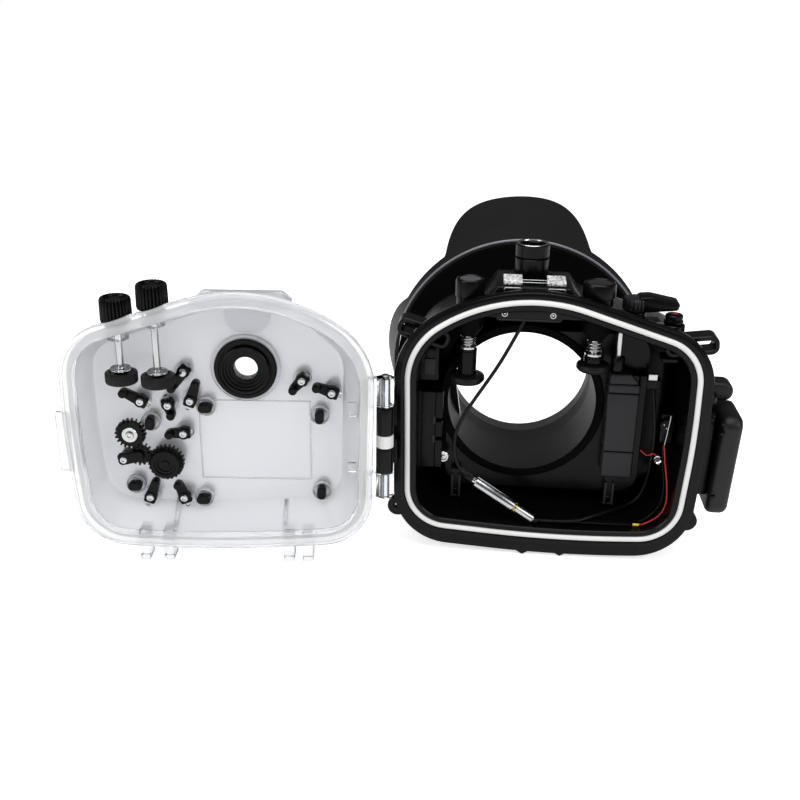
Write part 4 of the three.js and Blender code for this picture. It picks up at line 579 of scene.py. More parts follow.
# The same plastic from a blasted mould: milky, so that the tray reads as one pale sheet.
frosted_polycarbonate = clear_finish("frosted_polycarbonate", 0xD9DADE, rough=0.4, clear=0.55,
                                     flow_per_m=30.0, swing=0.2)
# Its thick rim, polished for the seal: whiter and glossier than the tray.
milky_rim = clear_finish("polished_rim_polycarbonate", 0xEDEEF0, rough=0.12, clear=0.6, flow_per_m=30.0,
                         swing=0.2)


def floor_ring(offset, y):
    """The tray floor's outline at an offset, set at one depth."""
    return rim_ring(offset, y, FLOOR_CORNERS)


def between(low, high, share):
    """A ring part of the way from one ring to another."""
    return low + (high - low) * share


wall_out_low = floor_ring(3.5, COVER_BACK + 2)
wall_out_high = rim_ring(2, RIM_BACK - 1)
wall_in_low = floor_ring(0, FLOOR_Y + 2)
wall_in_high = rim_ring(-2.7, RIM_BACK)
tray_rings = [round_ring(EYE_HOLE_R, FLOOR_Y, EYEPIECE[::2], FLOOR_CORNERS), floor_ring(-4, FLOOR_Y),
              floor_ring(-2.2, FLOOR_Y), floor_ring(-0.7, FLOOR_Y + 0.6), wall_in_low,
              between(wall_in_low, wall_in_high, 0.35), between(wall_in_low, wall_in_high, 0.7), wall_in_high,
              wall_out_high, between(wall_out_low, wall_out_high, 0.6), wall_out_low,
              floor_ring(2.9, COVER_BACK + 0.6), floor_ring(1.5, COVER_BACK),
              round_ring(EYE_HOLE_R, COVER_BACK, EYEPIECE[::2], FLOOR_CORNERS)]
dress(skin("cover_tray", tray_rings, on_cover), frosted_polycarbonate, "cover", "back_cover")
rim_rings = [
    rim_ring(-2.5, -6.8), rim_ring(-2.2, -7.1), rim_ring(5.0, -7.1), rim_ring(5.5, -6.6), rim_ring(5.5, -2.4),
    rim_ring(5.2, -1.5), rim_ring(4.6, -1.1), rim_ring(3.2, -1.1), rim_ring(3.0, -1.5), rim_ring(-1.8, -1.5),
    rim_ring(-2.2, -1.3), rim_ring(-2.5, -1.8),
]
dress(skin("cover_rim", rim_rings, on_cover), milky_rim, "cover")
hump_corners = [(-27, 67.5, 1), (31, 67.5, 1), (24, 73.5, 3), (-20, 73.5, 3)]
dress(slab("cover_hump", hump_corners, -26, -8.1, on_cover, edge=1.0), milky_rim, "cover")
for i, x in enumerate((-36, -25, 45, 59)):
    dress(block(f"cover_foot_{i}", (x, x + 6, -14, -2, -84.8, -66), on_cover, "x", 1.2), clear_polycarbonate,
          "cover")
dress(block("cover_latch_tab", (98, 106, -5.6, -1.6, -28, 8), on_cover, "x", 1.2, 0.8), milky_rim, "cover")
for tag, low, high in (("upper", 12.2, 29), ("lower", -44, -29)):
    dress(spun("cover_knuckle_" + tag, barrel(KNUCKLE_R, low, high), (HINGE_X, HINGE_Y, 0), "z", on_cover, 48,
               closed=False), clear_polycarbonate, "cover")
    dress(block("cover_arm_" + tag, (HINGE_X, HINGE_X + 13, HINGE_Y - 3, HINGE_Y + 3, low, high), on_cover,
                "z", 1), clear_polycarbonate, "cover")
# A thin raised frame marks the place of the camera's screen; each bar's limits in x and z.
frame_bars = [(-34.5, 30.2, 7.8, 8.7), (-34.5, 30.2, -41.4, -40.5), (-34.5, -33.6, -41.4, 8.7),
              (29.3, 30.2, -41.4, 8.7)]
for i, (x0, x1, z0, z1) in enumerate(frame_bars):
    dress(block(f"screen_line_{i}", (x0, x1, FLOOR_Y - 0.5, FLOOR_Y + 0.3, z0, z1), on_cover, "y", 0.4, 0.25),
          milky_rim, "cover")
for i, x in enumerate((43.2, -20.6)):
    rib = [(-22.9, -60.2, 0.6), (-8.0, -67.5, 0.6), (-10.5, -62.5, 0.6), (-22.9, -53.5, 0.6)]
    dress(slab(f"lower_rib_{i}", rib, x, x + 2.5, on_cover, "x", 0.4), clear_polycarbonate, "cover")
for i, (z0, z1) in enumerate(((6, 14.3), (-28.4, -22.8))):
    dress(block(f"hinge_tab_{i}", (-65.3, -56.3, -9.6, -7.3, z0, z1), on_cover, "y", 1, 0.4),
          clear_polycarbonate, "cover")

# Eyepiece
# A black turned ring pressed into the cover, stepped down to a small clear window at its middle.
# A collar of the cover's own plastic stands round it, and a clear light window is let in above it.
eye_steps = [(15.9, -28.6), (16.4, -28.2), (16.4, -23.4), (17.2, -23.3), (17.7, -22.8), (17.7, -19.6),
             (17.1, -18.9), (15.2, -18.9), (14.9, -19.6), (14.2, -19.6), (13.9, -16.9), (13.4, -16.5),
             (12.4, -16.5), (12.1, -17.9), (10.9, -17.9), (10.6, -19.2), (9.2, -19.4), (8.9, -20.2),
             (7.3, -20.4), (6.9, -20.8), (6.7, -21.4), (6.7, -28.6)]
# Glossy black ABS: near black, with small sharp highlights on its edges.
black_abs = finish("black_moulded_abs", 0x050506, rough=0.26, grain_mm=0.5, relief_mm=0.02, rough_swing=0.05,
                   settings={"IOR": 1.25})
# Coated optical glass: clear with the palest green cast.
clear_glass = clear_finish("coated_eyepiece_glass", 0xE8F0EE, rough=0.02)
coat(clear_glass, "eyepiece_glass")
dress(spun("stepped_eyepiece_ring", eye_steps, EYEPIECE, "y", on_cover, 112), black_abs, "cover",
      "eyepiece_ring")
dress(spun("eyepiece_collar", eye_profile(17.9, 19.8, -24, -20.6, 0.4), EYEPIECE, "y", on_cover, 96),
      clear_polycarbonate, "cover")
lens_corners = [(-12.8, 49.6, 9.5), (12.5, 49.6, 9.5), (12.5, 63.2, 0.8), (-12.8, 63.2, 0.8)]
dress(slab("cover_light_window", lens_corners, -23.7, -22.6, on_cover, edge=0.4, steps=12),
      clear_polycarbonate, "cover")

# Cover controls
# Black moulded buttons: each has a steel shaft through a clear tube and a cap outside. A lever's plate is
# held by a bright screw and ends in a round foot; a straight one ends in an oval head.
LEVER_HALF = 3.5
FOOT_HALF = 2.4
HEAD_HALF = 2.6
HEAD_CORNER_R = 2.5
# Each lever's screw and foot, as x and z.
LEVERS = {"lever_a": (61.9, 8.8, 71.2, 13.9), "lever_b": (46.4, 6.7, 44.9, 0.6),
          "lever_c": (33.6, 9.6, 29.9, 20.0), "lever_d": (37.0, 26, 44.2, 16.2),
          "lever_e": (38.6, -10.7, 46.7, -11.2), "lever_g": (60.4, -52, 56.7, -42),
          "lever_h": (40.5, -52, 43.6, -43.6), "lever_i": (-30, 22.8, -25, 17.3),
          "lever_j": (-46.9, 15.7, -38.3, 18.8)}
# Each plunger's x and z, and how much its head reaches past HEAD_HALF along each.
PLUNGERS = {
    "plunger_a": (25.3, 5.2, 1.4, 0), "plunger_b": (57.4, -4.6, 0, 1.4), "plunger_c": (69, -44.9, 1.4, 0),
    "plunger_d": (29.2, -53, 1.4, 0), "plunger_e": (-39.7, 0.9, 0, 1.4), "plunger_f": (-40.4, -47.4, 0, 1.4),
}


def screw_profile(radius, base, top):
    """Profile of a low domed screw head with a round recess in its middle."""
    return [(radius, base), (radius, base + (top - base) * 0.5), (radius * 0.9, top - (top - base) * 0.15),
            (radius * 0.72, top), (radius * 0.5, top), (radius * 0.42, top - (top - base) * 0.7)]


def push_parts(name, x, z):
    """The shaft and outer cap of one button and the clear tube that it runs in."""
    shaft = spun(name + "_shaft", barrel(2, -33, -18.5, 0.3), (x, 0, z), "y", on_cover, 20, closed=False)
    dress(shaft, turned_steel, name)
    cap = spun(name + "_cap", barrel(4.2, -35.5, -30.5, 0.6), (x, 0, z), "y", on_cover, 32, closed=False)
    dress(cap, black_abs, name)
    sleeve = spun(name + "_tube", eye_profile(2.3, 5.4, -24.4, -22.5, 0.4), (x, 0, z), "y", on_cover, 36)
    dress(sleeve, clear_polycarbonate, "cover")


def pointing(x0, z0, x1, z1):
    """Both ends of a line across the cover or the body, its direction and the direction to its left."""
    ahead = np.array([x1 - x0, z1 - z0]) / math.hypot(x1 - x0, z1 - z0)
    left = np.array([-ahead[1], ahead[0]])
    return np.array([x0, z0]), np.array([x1, z1]), ahead, left


for name, (x0, z0, x1, z1) in LEVERS.items():
    start, end, ahead, left = pointing(x0, z0, x1, z1)
    back, front = start - ahead * 4.0, end + ahead * 1.5
    plate = [(*(back - left * LEVER_HALF), 1.2), (*(front - left * FOOT_HALF), 1.6),
             (*(front + left * FOOT_HALF), 1.6), (*(back + left * LEVER_HALF), 1.2)]
    # lever_d runs under the inner wheel, so it is thinner and lies nearer to the floor.
    low, top = (-22.4, -20.8) if name == "lever_d" else (-21.4, -17.9)
    dress(slab(name + "_plate", plate, low, top, on_cover, edge=0.5), black_abs, name, name)
    dress(spun(name + "_boss", barrel(3.7, -22.2, top + 0.6, 0.5), (x0, 0, z0), "y", on_cover, 32,
               closed=False), black_abs, name)
    dress(spun(name + "_foot", barrel(2.5, low + 0.4, top + 2.7, 0.7), (x1, 0, z1), "y", on_cover, 32,
               closed=False), black_abs, name)
    dress(spun(name + "_screw", screw_profile(2.2, top + 0.5, top + 1.5), (x0, 0, z0), "y", on_cover, 28,
               closed=False), turned_steel, name)
    tail = start - ahead * 4.4
    clip = [(*(tail - left * 1.1 - ahead * 1.6), 0.5), (*(tail - left * 1.1 + ahead * 1.6), 0.5),
            (*(tail + left * 1.1 + ahead * 1.6), 0.5), (*(tail + left * 1.1 - ahead * 1.6), 0.5)]
    dress(slab(name + "_tail", clip, low + 0.6, top - 0.1, on_cover, edge=0.3, steps=3), clear_polycarbonate,
          name)
    push_parts(name, x0, z0)
for name, (x, z, half_x, half_z) in PLUNGERS.items():
    reach_x, reach_z = half_x + HEAD_HALF, half_z + HEAD_HALF
    head = [(x - reach_x, z - reach_z, HEAD_CORNER_R), (x + reach_x, z - reach_z, HEAD_CORNER_R),
            (x + reach_x, z + reach_z, HEAD_CORNER_R), (x - reach_x, z + reach_z, HEAD_CORNER_R)]
    dress(slab(name + "_head", head, -21.8, -16.6, on_cover, edge=0.6, steps=10), black_abs, name, name)
    dress(spun(name + "_rim", eye_profile(4.8, 5.7, -23.9, -20.2, 0.3), (x, 0, z), "y", on_cover, 40),
          milky_rim, "cover")
    push_parts(name, x, z)

# Gear train
# Three moulded spur gears pass a dial's turn across the cover. The first is held by a bright washer and
# screw, the dial's own has a ribbed cap with a stepped recess, and the pinion sits on a small arm.
GEAR_ONE = (68.5, 0, -10.5)
GEAR_DIAL = (49.1, 0, -28.2)
IDLER_FOOT = (72.6, 0, -25.2)
coat(black_abs, "gear_one", "gear_two", "idler_pinion")
dress(spun("gear_washer", eye_profile(1.2, 4.5, -14.6, -13.9, 0.2), GEAR_ONE, "y", on_cover, 48),
      turned_steel, "gear_one")
dress(spun("gear_screw", screw_profile(2.5, -14, -12.8), GEAR_ONE, "y", on_cover, 32, closed=False),
      turned_steel, "gear_one")
dial_cap = [(9.3, -15, 1), (9.3, -12.6, 1), (8.7, -12, 1), (6.4, -12, 0.3), (6.1, -12.8, 0), (4.6, -12.8, 0),
            (4.3, -13.6, 0), (2.4, -13.6, 0), (2.1, -12.9, 0), (1.2, -12.9, 0)]
dress(spun("gear_dial_cap", dial_cap, GEAR_DIAL, "y", on_cover, 240, closed=False, ribs=40, rib_mm=0.9),
      black_abs, "gear_two")
arm_corners = [(76.6, -21.6, 2.4), (61.4, -19.9, 2.4), (61.0, -25.9, 2.4), (75.4, -29.2, 2.4)]
dress(slab("idler_plate", arm_corners, -14.4, -12.1, on_cover, edge=0.5), black_abs, "cover", "idler_arm")
dress(spun("idler_boss", barrel(3.1, -23.6, -12.6, 0.4), IDLER_FOOT, "y", on_cover, 32, closed=False),
      black_abs, "cover")
dress(spun("idler_screw", screw_profile(2.1, -12.3, -11.2), IDLER_FOOT, "y", on_cover, 28, closed=False),
      turned_steel, "cover")

# Cover knobs
# Two long control knobs: a ribbed black cap with a dished top above the cover, a bright steel shaft
# through its wall, and a rubber wheel at the end that rolls the camera's own dials.
KNOB_Y = -11
# Each knob's x, the height of its cap's foot, and its wheel's middle height and radius.
COVER_KNOBS = {"outer": (69.2, 58.8, 26.5, 9), "inner": (49, 66.7, 25, 9.4)}
CAP_RIBS = 26
WHEEL_FLUTES = 44
# Moulded rubber: dull black with a fine, uneven skin.
black_rubber = finish("black_moulded_rubber", 0x0A0A0B, rough=0.5, grain_mm=0.3, relief_mm=0.05,
                      settings={"IOR": 1.35})


def knob_cap(name, x, y, radius, foot, top, place, body, *nodes):
    """A ribbed cap with a rounded shoulder and a dished top with a narrow lip."""
    line = [(radius - 1.2, foot, 0), (radius - 0.4, foot + 0.5, 1), (radius, foot + 1.6, 1),
            (radius - 0.15, top - 1.8, 1), (radius - 0.5, top - 0.6, 1), (radius - 1.2, top, 0.5),
            (radius - 2.2, top, 0), (radius - 2.6, top - 0.5, 0), (radius - 2.9, top - 1.2, 0),
            (radius - 4.6, top - 1.3, 0)]
    cap = spun(name, line, (x, y, 0), "z", place, CAP_RIBS * 12, closed=False, ribs=CAP_RIBS, rib_mm=0.95)
    dress(cap, black_abs, body, *nodes)


def rubber_wheel(name, x, y, radius, low, high, place, body, *nodes):
    """A rubber wheel with fine flutes, a rounded edge and a dished top round its hub."""
    line = [(2.1, low, 0), (radius - 0.9, low, 0), (radius - 0.25, low + 0.3, 1), (radius, low + 1, 1),
            (radius, high - 1, 1), (radius - 0.25, high - 0.3, 1), (radius - 0.9, high, 0),
            (radius - 2.4, high, 0), (radius - 3, high - 0.8, 0), (2.1, high - 0.8, 0)]
    wheel = spun(name, line, (x, y, 0), "z", place, WHEEL_FLUTES * 6, ribs=WHEEL_FLUTES, rib_mm=0.3)
    dress(wheel, black_rubber, body, *nodes)


for tag, (x, foot, wheel, wheel_r) in COVER_KNOBS.items():
    body = "knob_" + tag
    axle = (x, KNOB_Y, 0)
    knob_cap("cover_cap_" + tag, x, KNOB_Y, 8.7, foot - 0.6, foot + 13.8, on_cover, body, "cover_knob_" + tag)
    dress(spun("cover_shaft_" + tag, barrel(2, wheel - 3.2, foot + 1, 0.3), axle, "z", on_cover, 32,
               closed=False), turned_steel, body)
    rubber_wheel("cover_wheel_" + tag, x, KNOB_Y, wheel_r, wheel - 3.2, wheel + 3.2, on_cover, body,
                 "knob_wheel_" + tag)
    dress(spun("cover_collet_" + tag, barrel(4, wheel + 2.6, wheel + 4.2, 0.5), axle, "z", on_cover, 32,
               closed=False), black_abs, body)
    dress(spun("cover_washer_" + tag, eye_profile(2.2, 5.8, wheel + 4.3, wheel + 5.6, 0.3), axle, "z",
               on_cover, 32), clear_polycarbonate, body)
    dress(spun("cover_gland_" + tag, eye_profile(2.3, 6, foot - 10.3, foot - 0.3, 0.5), axle, "z", on_cover,
               48), clear_polycarbonate, "cover")
    dress(spun("cover_ring_" + tag, eye_profile(2.1, 4.6, foot - 2.2, foot - 0.4, 0.4), axle, "z", on_cover,
               40), black_rubber, body)

# Vacuum valve
# A screw-down valve of anodised aluminium on the top platform, through which the air is pumped out. Its cap
# is turned by hand, and the cap's lip is left bright.
VALVE = (1.0, 33.0, 0.0)
valve_body_line = [(8.4, 78.3), (9.3, 78.7), (9.6, 79.4), (9.6, 88.9), (9.3, 89.3), (8.8, 89.4), (5.0, 89.4)]
dress(spun("valve_barrel", valve_body_line, VALVE, "z", on_body, 96, closed=False), black_anodised, "housing",
      "valve_body")
dress(block("valve_wings", (-11.4, 13.4, 30.5, 35.5, 78.2, 80.6), on_body, "z", 2.2), black_anodised,
      "housing")
valve_cap_line = [(8.2, 89.6), (9.1, 89.7), (9.6, 90.3), (9.6, 96.6), (9.2, 97.2), (8.9, 97.3), (8.9, 96.9),
                  (7.4, 96.4), (7.0, 95.9), (6.8, 92.6)]
dress(spun("valve_top", valve_cap_line, VALVE, "z", on_body, 96, closed=False), black_anodised, "valve_cap",
      "valve_cap")
dress(spun("valve_lip", [(7.5, 96.8), (8.9, 96.8), (9.1, 97.2), (8.8, 97.5), (7.8, 97.4)], VALVE, "z",
           on_body, 96), turned_steel, "valve_cap")

# Light windows
# Two small panes with a mottled grey print, let into the platform and leant back a few degrees. Two thin
# steel rods run between them, and a slot in a bright frame lies below each.
WINDOW_TILT = math.radians(9)
WINDOW_FOOT = (0, 11.5, 78.3)
FLAKES_PER_M = 900.0


def speckle(name):
    """A grey pane with a bright mottled print under its gloss, in flakes about 1 mm wide."""
    made = finish(name, 0x9A9C9F, rough=0.28, relief_mm=0.05, rough_swing=0.1)
    tree = made.node_tree
    shader = tree.nodes["Principled BSDF"]
    place = node(tree, "ShaderNodeTexCoord")
    spots = node(tree, "ShaderNodeTexVoronoi", {"Scale": FLAKES_PER_M}, {"Vector": place.outputs["Object"]})
    tone = node(tree, "ShaderNodeValToRGB", {}, {"Fac": spots.outputs["Color"]})
    tone.color_ramp.elements[0].color = hex_colour(0x3C3E41)
    tone.color_ramp.elements[1].color = hex_colour(0xF2F2F2)
    tree.links.new(tone.outputs["Color"], shader.inputs["Base Color"])
    return made


def on_window(points):
    """Points turned back by the windows' tilt about their front lower edge."""
    spots = np.asarray(points, float).reshape(-1, 3) - WINDOW_FOOT
    cosine, sine = math.cos(WINDOW_TILT), math.sin(WINDOW_TILT)
    y = spots[:, 1] * cosine - spots[:, 2] * sine + WINDOW_FOOT[1]
    z = spots[:, 1] * sine + spots[:, 2] * cosine + WINDOW_FOOT[2]
    return on_body(np.stack([spots[:, 0], y, z], axis=1))


# Clear plastic over a mottled print: light and dark grey flakes under one glossy face.
mottled_window = speckle("mottled_light_window")
for tag, x in (("left", -9.5), ("right", 14.5)):
    nodes = ("light_windows",) if tag == "left" else ()
    dress(block("window_pane_" + tag, (x - 5.2, x + 5.2, 11.5, 22.6, 78.3, 80), on_window, "z", 0.8, 0.3),
          mottled_window, "housing", *nodes)
    dress(block("window_slot_frame_" + tag, (x - 4.9, x + 4.9, 7.9, 9.4, 75.3, 77.9), on_body, "y", 0.9, 0.3),
          turned_steel, "housing")
    # The slot is drawn as a black block inside its frame: painted shade that stands for the slot's dark
    # depth.
    dress(block("window_slot_" + tag, (x - 4.1, x + 4.1, 7.5, 8.6, 76.1, 77.3), on_body, "y", 0.5, 0.2),
          black_abs, "housing")
WINDOW_RODS = [(12.4, 79.7), (15.2, 80.4)]
for i, (y, z) in enumerate(WINDOW_RODS):
    dress(spun(f"window_bar_{i}", barrel(0.32, -4.4, 9.4, 0.1), (0, y, z), "x", on_body, 20, closed=False),
          turned_steel, "housing")

# Pull dials
# Each dial is lifted against its spring before it turns: an anodised cap on a steel stem that runs in a
# gland, with a circlip, a moulded hub and a rubber wheel for the camera's own dial at the foot.
DIAL_TOP = 80
GLAND_TOP = 58.5
# Each dial's place, as x and y.
DIALS = {"left": (-33, 18), "right": (38.5, 19)}
# Each hub's foot and top, and its wheel's height, radius and top.
DIAL_HUBS = {"left": (22.6, 38.7, 20.4, 10.4, 22.9), "right": (32.8, 37.2, 30, 9.4, 32.5)}
coat(turned_steel, "dial_left_circlip", "dial_right_circlip")


def pull_dial(tag, radius, foot, top_look):
    """A pull dial's cap: a narrower foot, a smooth barrel and a shallow disc let into its top."""
    x, y = DIALS[tag]
    line = [(radius - 1.2, foot), (radius - 0.7, foot + 0.5), (radius - 0.7, foot + 4.6),
            (radius, foot + 5.1), (radius, 78.4), (radius - 0.3, 79.4), (radius - 1.2, DIAL_TOP),
            (radius - 1.7, 79.8), (radius - 2.1, 79.3)]
    dress(spun("dial_cap_" + tag, line, (x, y, 0), "z", on_body, 96, closed=False), black_anodised,
          "dial_" + tag, "dial_" + tag + "_knob")
    disc = [(radius - 2.2, 79), (radius - 2.2, 79.5), (radius - 3.2, 79.8), (radius - 6, DIAL_TOP)]
    dress(spun("dial_disc_" + tag, disc, (x, y, 0), "z", on_body, 72, closed=False), top_look, "dial_" + tag)


# A satin disc let into the left cap: mid grey, with a broad highlight.
satin_grey = finish("satin_grey_moulding", 0x46474A, rough=0.38, grain_mm=0.4, relief_mm=0.03,
                    rough_swing=0.05)
# A cast disc on the right cap, and the shutter lever's hub: dark, with coarse flakes that glint.
cast_mottle = finish("mottled_black_cap", 0x1A1B1D, rough=0.24, grain_mm=1.4, relief_mm=0.5, rough_swing=0.12)
pull_dial("left", 8.1, 64.5, satin_grey)
pull_dial("right", 9.2, 66.8, cast_mottle)
for tag, (low, high, wheel, wheel_r, wheel_top) in DIAL_HUBS.items():
    x, y = DIALS[tag]
    hub = [(4.6, low), (5.4, low + 0.5), (5.4, high - 1.6), (5.1, high - 1.2), (5.5, high - 0.9),
           (5.5, high - 0.3), (5.1, high), (2.5, high)]
    dress(spun("dial_hub_" + tag, hub, (x, y, 0), "z", on_body, 48, closed=False), black_abs, "dial_" + tag)
    dress(spun("dial_stem_" + tag, barrel(2.3, wheel - 2.6, 55, 0.3), (x, y, 0), "z", on_body, 24,
               closed=False), turned_steel, "dial_" + tag)
    rubber = [(2.6, wheel - 2.5), (wheel_r - 3.2, wheel - 2.5), (wheel_r - 1.2, wheel - 1.9),
              (wheel_r, wheel - 0.4), (wheel_r, wheel + 1.2), (wheel_r - 0.5, wheel + 2.1),
              (wheel_r - 1.5, wheel_top), (2.6, wheel_top)]
    dress(spun("dial_rubber_" + tag, rubber, (x, y, 0), "z", on_body, 72), black_rubber, "dial_" + tag,
          "dial_" + tag + "_wheel")
    gland = [(8.6, GLAND_TOP), (8.6, 52), (5.6, 47.8), (4.9, 46.8), (2.6, 46.8), (2.6, GLAND_TOP)]
    dress(spun("dial_gland_" + tag, gland, (x, y, 0), "z", on_body, 48), baffle_black, "housing")


def smooth_line(points, steps):
    """Points along a line that passes through the given ones, each span a cubic of its four neighbours."""
    spots = np.asarray(points, float)
    ends = np.vstack([2 * spots[0] - spots[1], spots, 2 * spots[-1] - spots[-2]])
    run = np.linspace(0, len(spots) - 1, steps)
    start = np.minimum(run.astype(int), len(spots) - 2)
    t = (run - start)[:, None]
    p0, p1, p2, p3 = (ends[start + k] for k in range(4))
    return 0.5 * (2 * p1 + (p2 - p0) * t + (2 * p0 - 5 * p1 + 4 * p2 - p3) * t ** 2
                  + (3 * p1 - p0 - 3 * p2 + p3) * t ** 3)


def tube(name, points, radius, place, steps=120, sides=16, guide=(0, 1, 0)):
    """A round cable: each ring lies across the line, turned by one guide direction."""
    line = smooth_line(points, steps)
    ahead = np.gradient(line, axis=0)
    ahead /= np.linalg.norm(ahead, axis=1, keepdims=True)
    across = np.cross(ahead, np.asarray(guide, float))
    across /= np.linalg.norm(across, axis=1, keepdims=True)
    upward = np.cross(across, ahead)
    angle = np.linspace(0, 2 * math.pi, sides, endpoint=False)[None, :, None]
    outward = np.cos(angle) * across[:, None, :] + np.sin(angle) * upward[:, None, :]
    rings = line[:, None, :] + radius * outward
    return skin(name, rings, place, close_rows=False, sharp=60)


# A steel coil round each stem, drawn at rest. On the real dial its top stays, and it shortens by the travel
# when the dial is lifted.
SPRING_R = 4.0
SPRING_WIRE_R = 0.42
SPRING_TOP = 46.5
SPRING_TURNS = 3.5
SPRING_STEPS = 160
COIL_FEET = {"left": 40.3, "right": 38.8}
for tag, low in COIL_FEET.items():
    x, y = DIALS[tag]
    turn = np.linspace(0, 2 * math.pi * SPRING_TURNS, SPRING_STEPS)
    lift = np.linspace(low + SPRING_WIRE_R, SPRING_TOP - SPRING_WIRE_R, SPRING_STEPS)
    coil_line = np.stack([x + SPRING_R * np.cos(turn), y + SPRING_R * np.sin(turn), lift], axis=1)
    coil = tube("dial_coil_" + tag, coil_line, SPRING_WIRE_R, on_body, SPRING_STEPS, 12, guide=(0, 0, 1))
    dress(coil, turned_steel, "housing", f"dial_{tag}_spring")
    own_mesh(coil)

# Shutter lever and record button
# The lever is a moulded paddle on a ribbed hub; its pin runs through the casting to a fork that tips the
# camera's own release. The button beside it has a red mark, and its stem carries an arm inside.
SHUTTER = (60, 26, 0)
SHUTTER_ROD = (52.6, 20, 0)
RECORD = (81, 20, 0)
lever_corners = [(60, 61.9, 2), (83.2, 64.2, 2), (84.2, 68.6, 1.8), (68, 71.8, 8), (60.5, 71.2, 3)]
dress(slab("shutter_lever", lever_corners, 20.2, 33, on_body, "y", 1.5), black_abs, "shutter_paddle",
      "shutter_paddle")
lever_hub = [(4.4, 62.4, 0), (6.8, 62.8, 1), (7.3, 63.6, 1), (7.3, 68.6, 1), (6.7, 69.8, 1), (4.9, 70.4, 0),
             (1, 70.7, 0)]
dress(spun("shutter_hub", lever_hub, SHUTTER, "z", on_body, 144, closed=False, ribs=18, rib_mm=0.7),
      cast_mottle, "shutter_paddle")
dress(spun("shutter_boss", barrel(6.4, 52, 62.2, 0.6), SHUTTER, "z", on_body, 48, closed=False),
      black_anodised, "housing")
dress(spun("shutter_pin", barrel(1.8, 33, 61.4, 0.3), SHUTTER_ROD, "z", on_body, 28, closed=False),
      turned_steel, "shutter_rod", "shutter_rod")
dress(spun("shutter_fork", barrel(4, 28.6, 36.4, 0.6), SHUTTER_ROD, "z", on_body, 36, closed=False),
      black_abs, "shutter_rod")
# Red PVC, for the button's mark and the sensor's wires: a clean, slightly glossy red.
red_pvc = finish("red_pvc_wire", 0xA5181F, rough=0.35, grain_mm=0.4, relief_mm=0.01, rough_swing=0.05)
record_line = [(5.0, 57.7), (5.3, 58.1), (5.3, 59.3), (4.5, 59.7), (4.4, 60.1), (4.9, 60.5), (4.9, 62.2),
               (4.4, 62.8), (3.2, 63)]
dress(spun("record_cap", record_line, RECORD, "z", on_body, 72, closed=False), black_abs, "record_button",
      "record_button")
dress(spun("record_dot", barrel(1.5, 62.7, 63.3, 0.2), (81.6, 20.6, 0), "z", on_body, 28, closed=False),
      red_pvc, "record_button")
dress(spun("record_collar", eye_profile(5.5, 6.5, 50, 57.2, 0.5), RECORD, "z", on_body, 56), black_anodised,
      "housing")
dress(spun("record_stem", barrel(2, 38, 58, 0.3), RECORD, "z", on_body, 24, closed=False), black_abs,
      "record_button")
dress(block("record_arm", (76, 86, 14, 26, 36, 38.5), on_body, "z", 1.5), black_abs, "record_button")
dress(block("top_grey_plate", (65.5, 74.5, 11.4, 13, 57.5, 60), on_body, "y", 0.6, 0.3), satin_grey,
      "housing")

# Strap loops and flange nubs
# Cast with the body and dyed with it: a slotted loop for the neck strap at each upper corner, and two low
# wedges under the flange.
STRAP_HALF = 5.6
STRAP_LONG = 7
STRAP_CORNER_R = 4.6
NUB_HALF = 7
# Each loop's outer and inner end, as x and z.
STRAP_LOOPS = {"left": (-66, 50, -50, 45), "right": (99.5, 47.2, 84, 45.2)}
for tag, (x0, z0, x1, z1) in STRAP_LOOPS.items():
    start, end, ahead, left = pointing(x0, z0, x1, z1)
    aside, along = left * STRAP_HALF, ahead * STRAP_LONG
    spots = [start - aside - along, end - aside + along, end + aside + along, start + aside - along]
    strap_corners = [(*spot, STRAP_CORNER_R) for spot in spots]
    section = [(-2.8, 13.5), (-2.3, 13), (-0.6, 13), (0, 13.6), (0, 24.4), (-0.6, 25), (-2.3, 25),
               (-2.8, 24.5)]
    loops = []
    for offset, y in section:
        flat = outline(strap_corners, offset, 12)
        loops.append(np.stack([flat[:, 0], np.full(len(flat), y), flat[:, 1]], axis=1))
    dress(skin("strap_loop_" + tag, loops, on_body), black_anodised, "housing")
for i, x in enumerate((4.6, 26.8)):
    nub = [(x - NUB_HALF, -80.5, 0.6), (x, -84.9, 0.8), (x + NUB_HALF, -80.5, 0.6)]
    dress(slab(f"flange_nub_{i}", nub, 1.8, 5.8, on_body, edge=0.5), black_anodised, "housing")

# Inner fittings
# Black mouldings screwed into the body: the grip tower beside the port with its pads, the slotted bracket
# on the left wall, a slide switch above it, and the legs that clip the cradle to the floor.
PADS = [(49.3, 66.8, 21.2, 31.5, 13.6, 18.5), (49.3, 66.8, 21.2, 31.5, -23.4, 12.8),
        (49.3, 66.8, 21.6, 31.5, -40, -24.2)]
# Each screw's x and z, its head's radius and the depth of its face.
INNER_SCREWS = [(-45.2, -33.5, 3.4, 23.5), (-13.3, 64.9, 1.8, 0.7), (13, 64.7, 1.8, 0.7)]
# A charcoal moulding with a fine texture: the only face in the dark body that reads as grey.
pad_grey = finish("satin_charcoal_moulding", 0x252528, rough=0.42, grain_mm=0.4, relief_mm=0.03,
                  rough_swing=0.05, settings={"IOR": 1.3})
coat(black_abs, "cradle_plate")
for i, span in enumerate(PADS):
    nodes = ("grip_tower",) if i == 0 else ()
    dress(block(f"grip_pad_{i}", span, on_body, "y", 0.8, 0.7), pad_grey, "housing", *nodes)
cap_corners = [(49.3, 19, 0.8), (66.8, 19, 0.8), (61.5, 25, 1.2), (49.8, 25, 1.2)]
dress(slab("grip_cap", cap_corners, 21.4, 31.5, on_body, edge=0.7), pad_grey, "housing")
dress(block("grip_rail", (66.9, 71, 24, 31.6, -40, 24), on_body, "y", 0.8), black_abs, "housing")
dress(block("grip_shelf", (70.8, 79, 24, 31.6, 16, 21.5), on_body, "y", 1.0), black_abs, "housing")
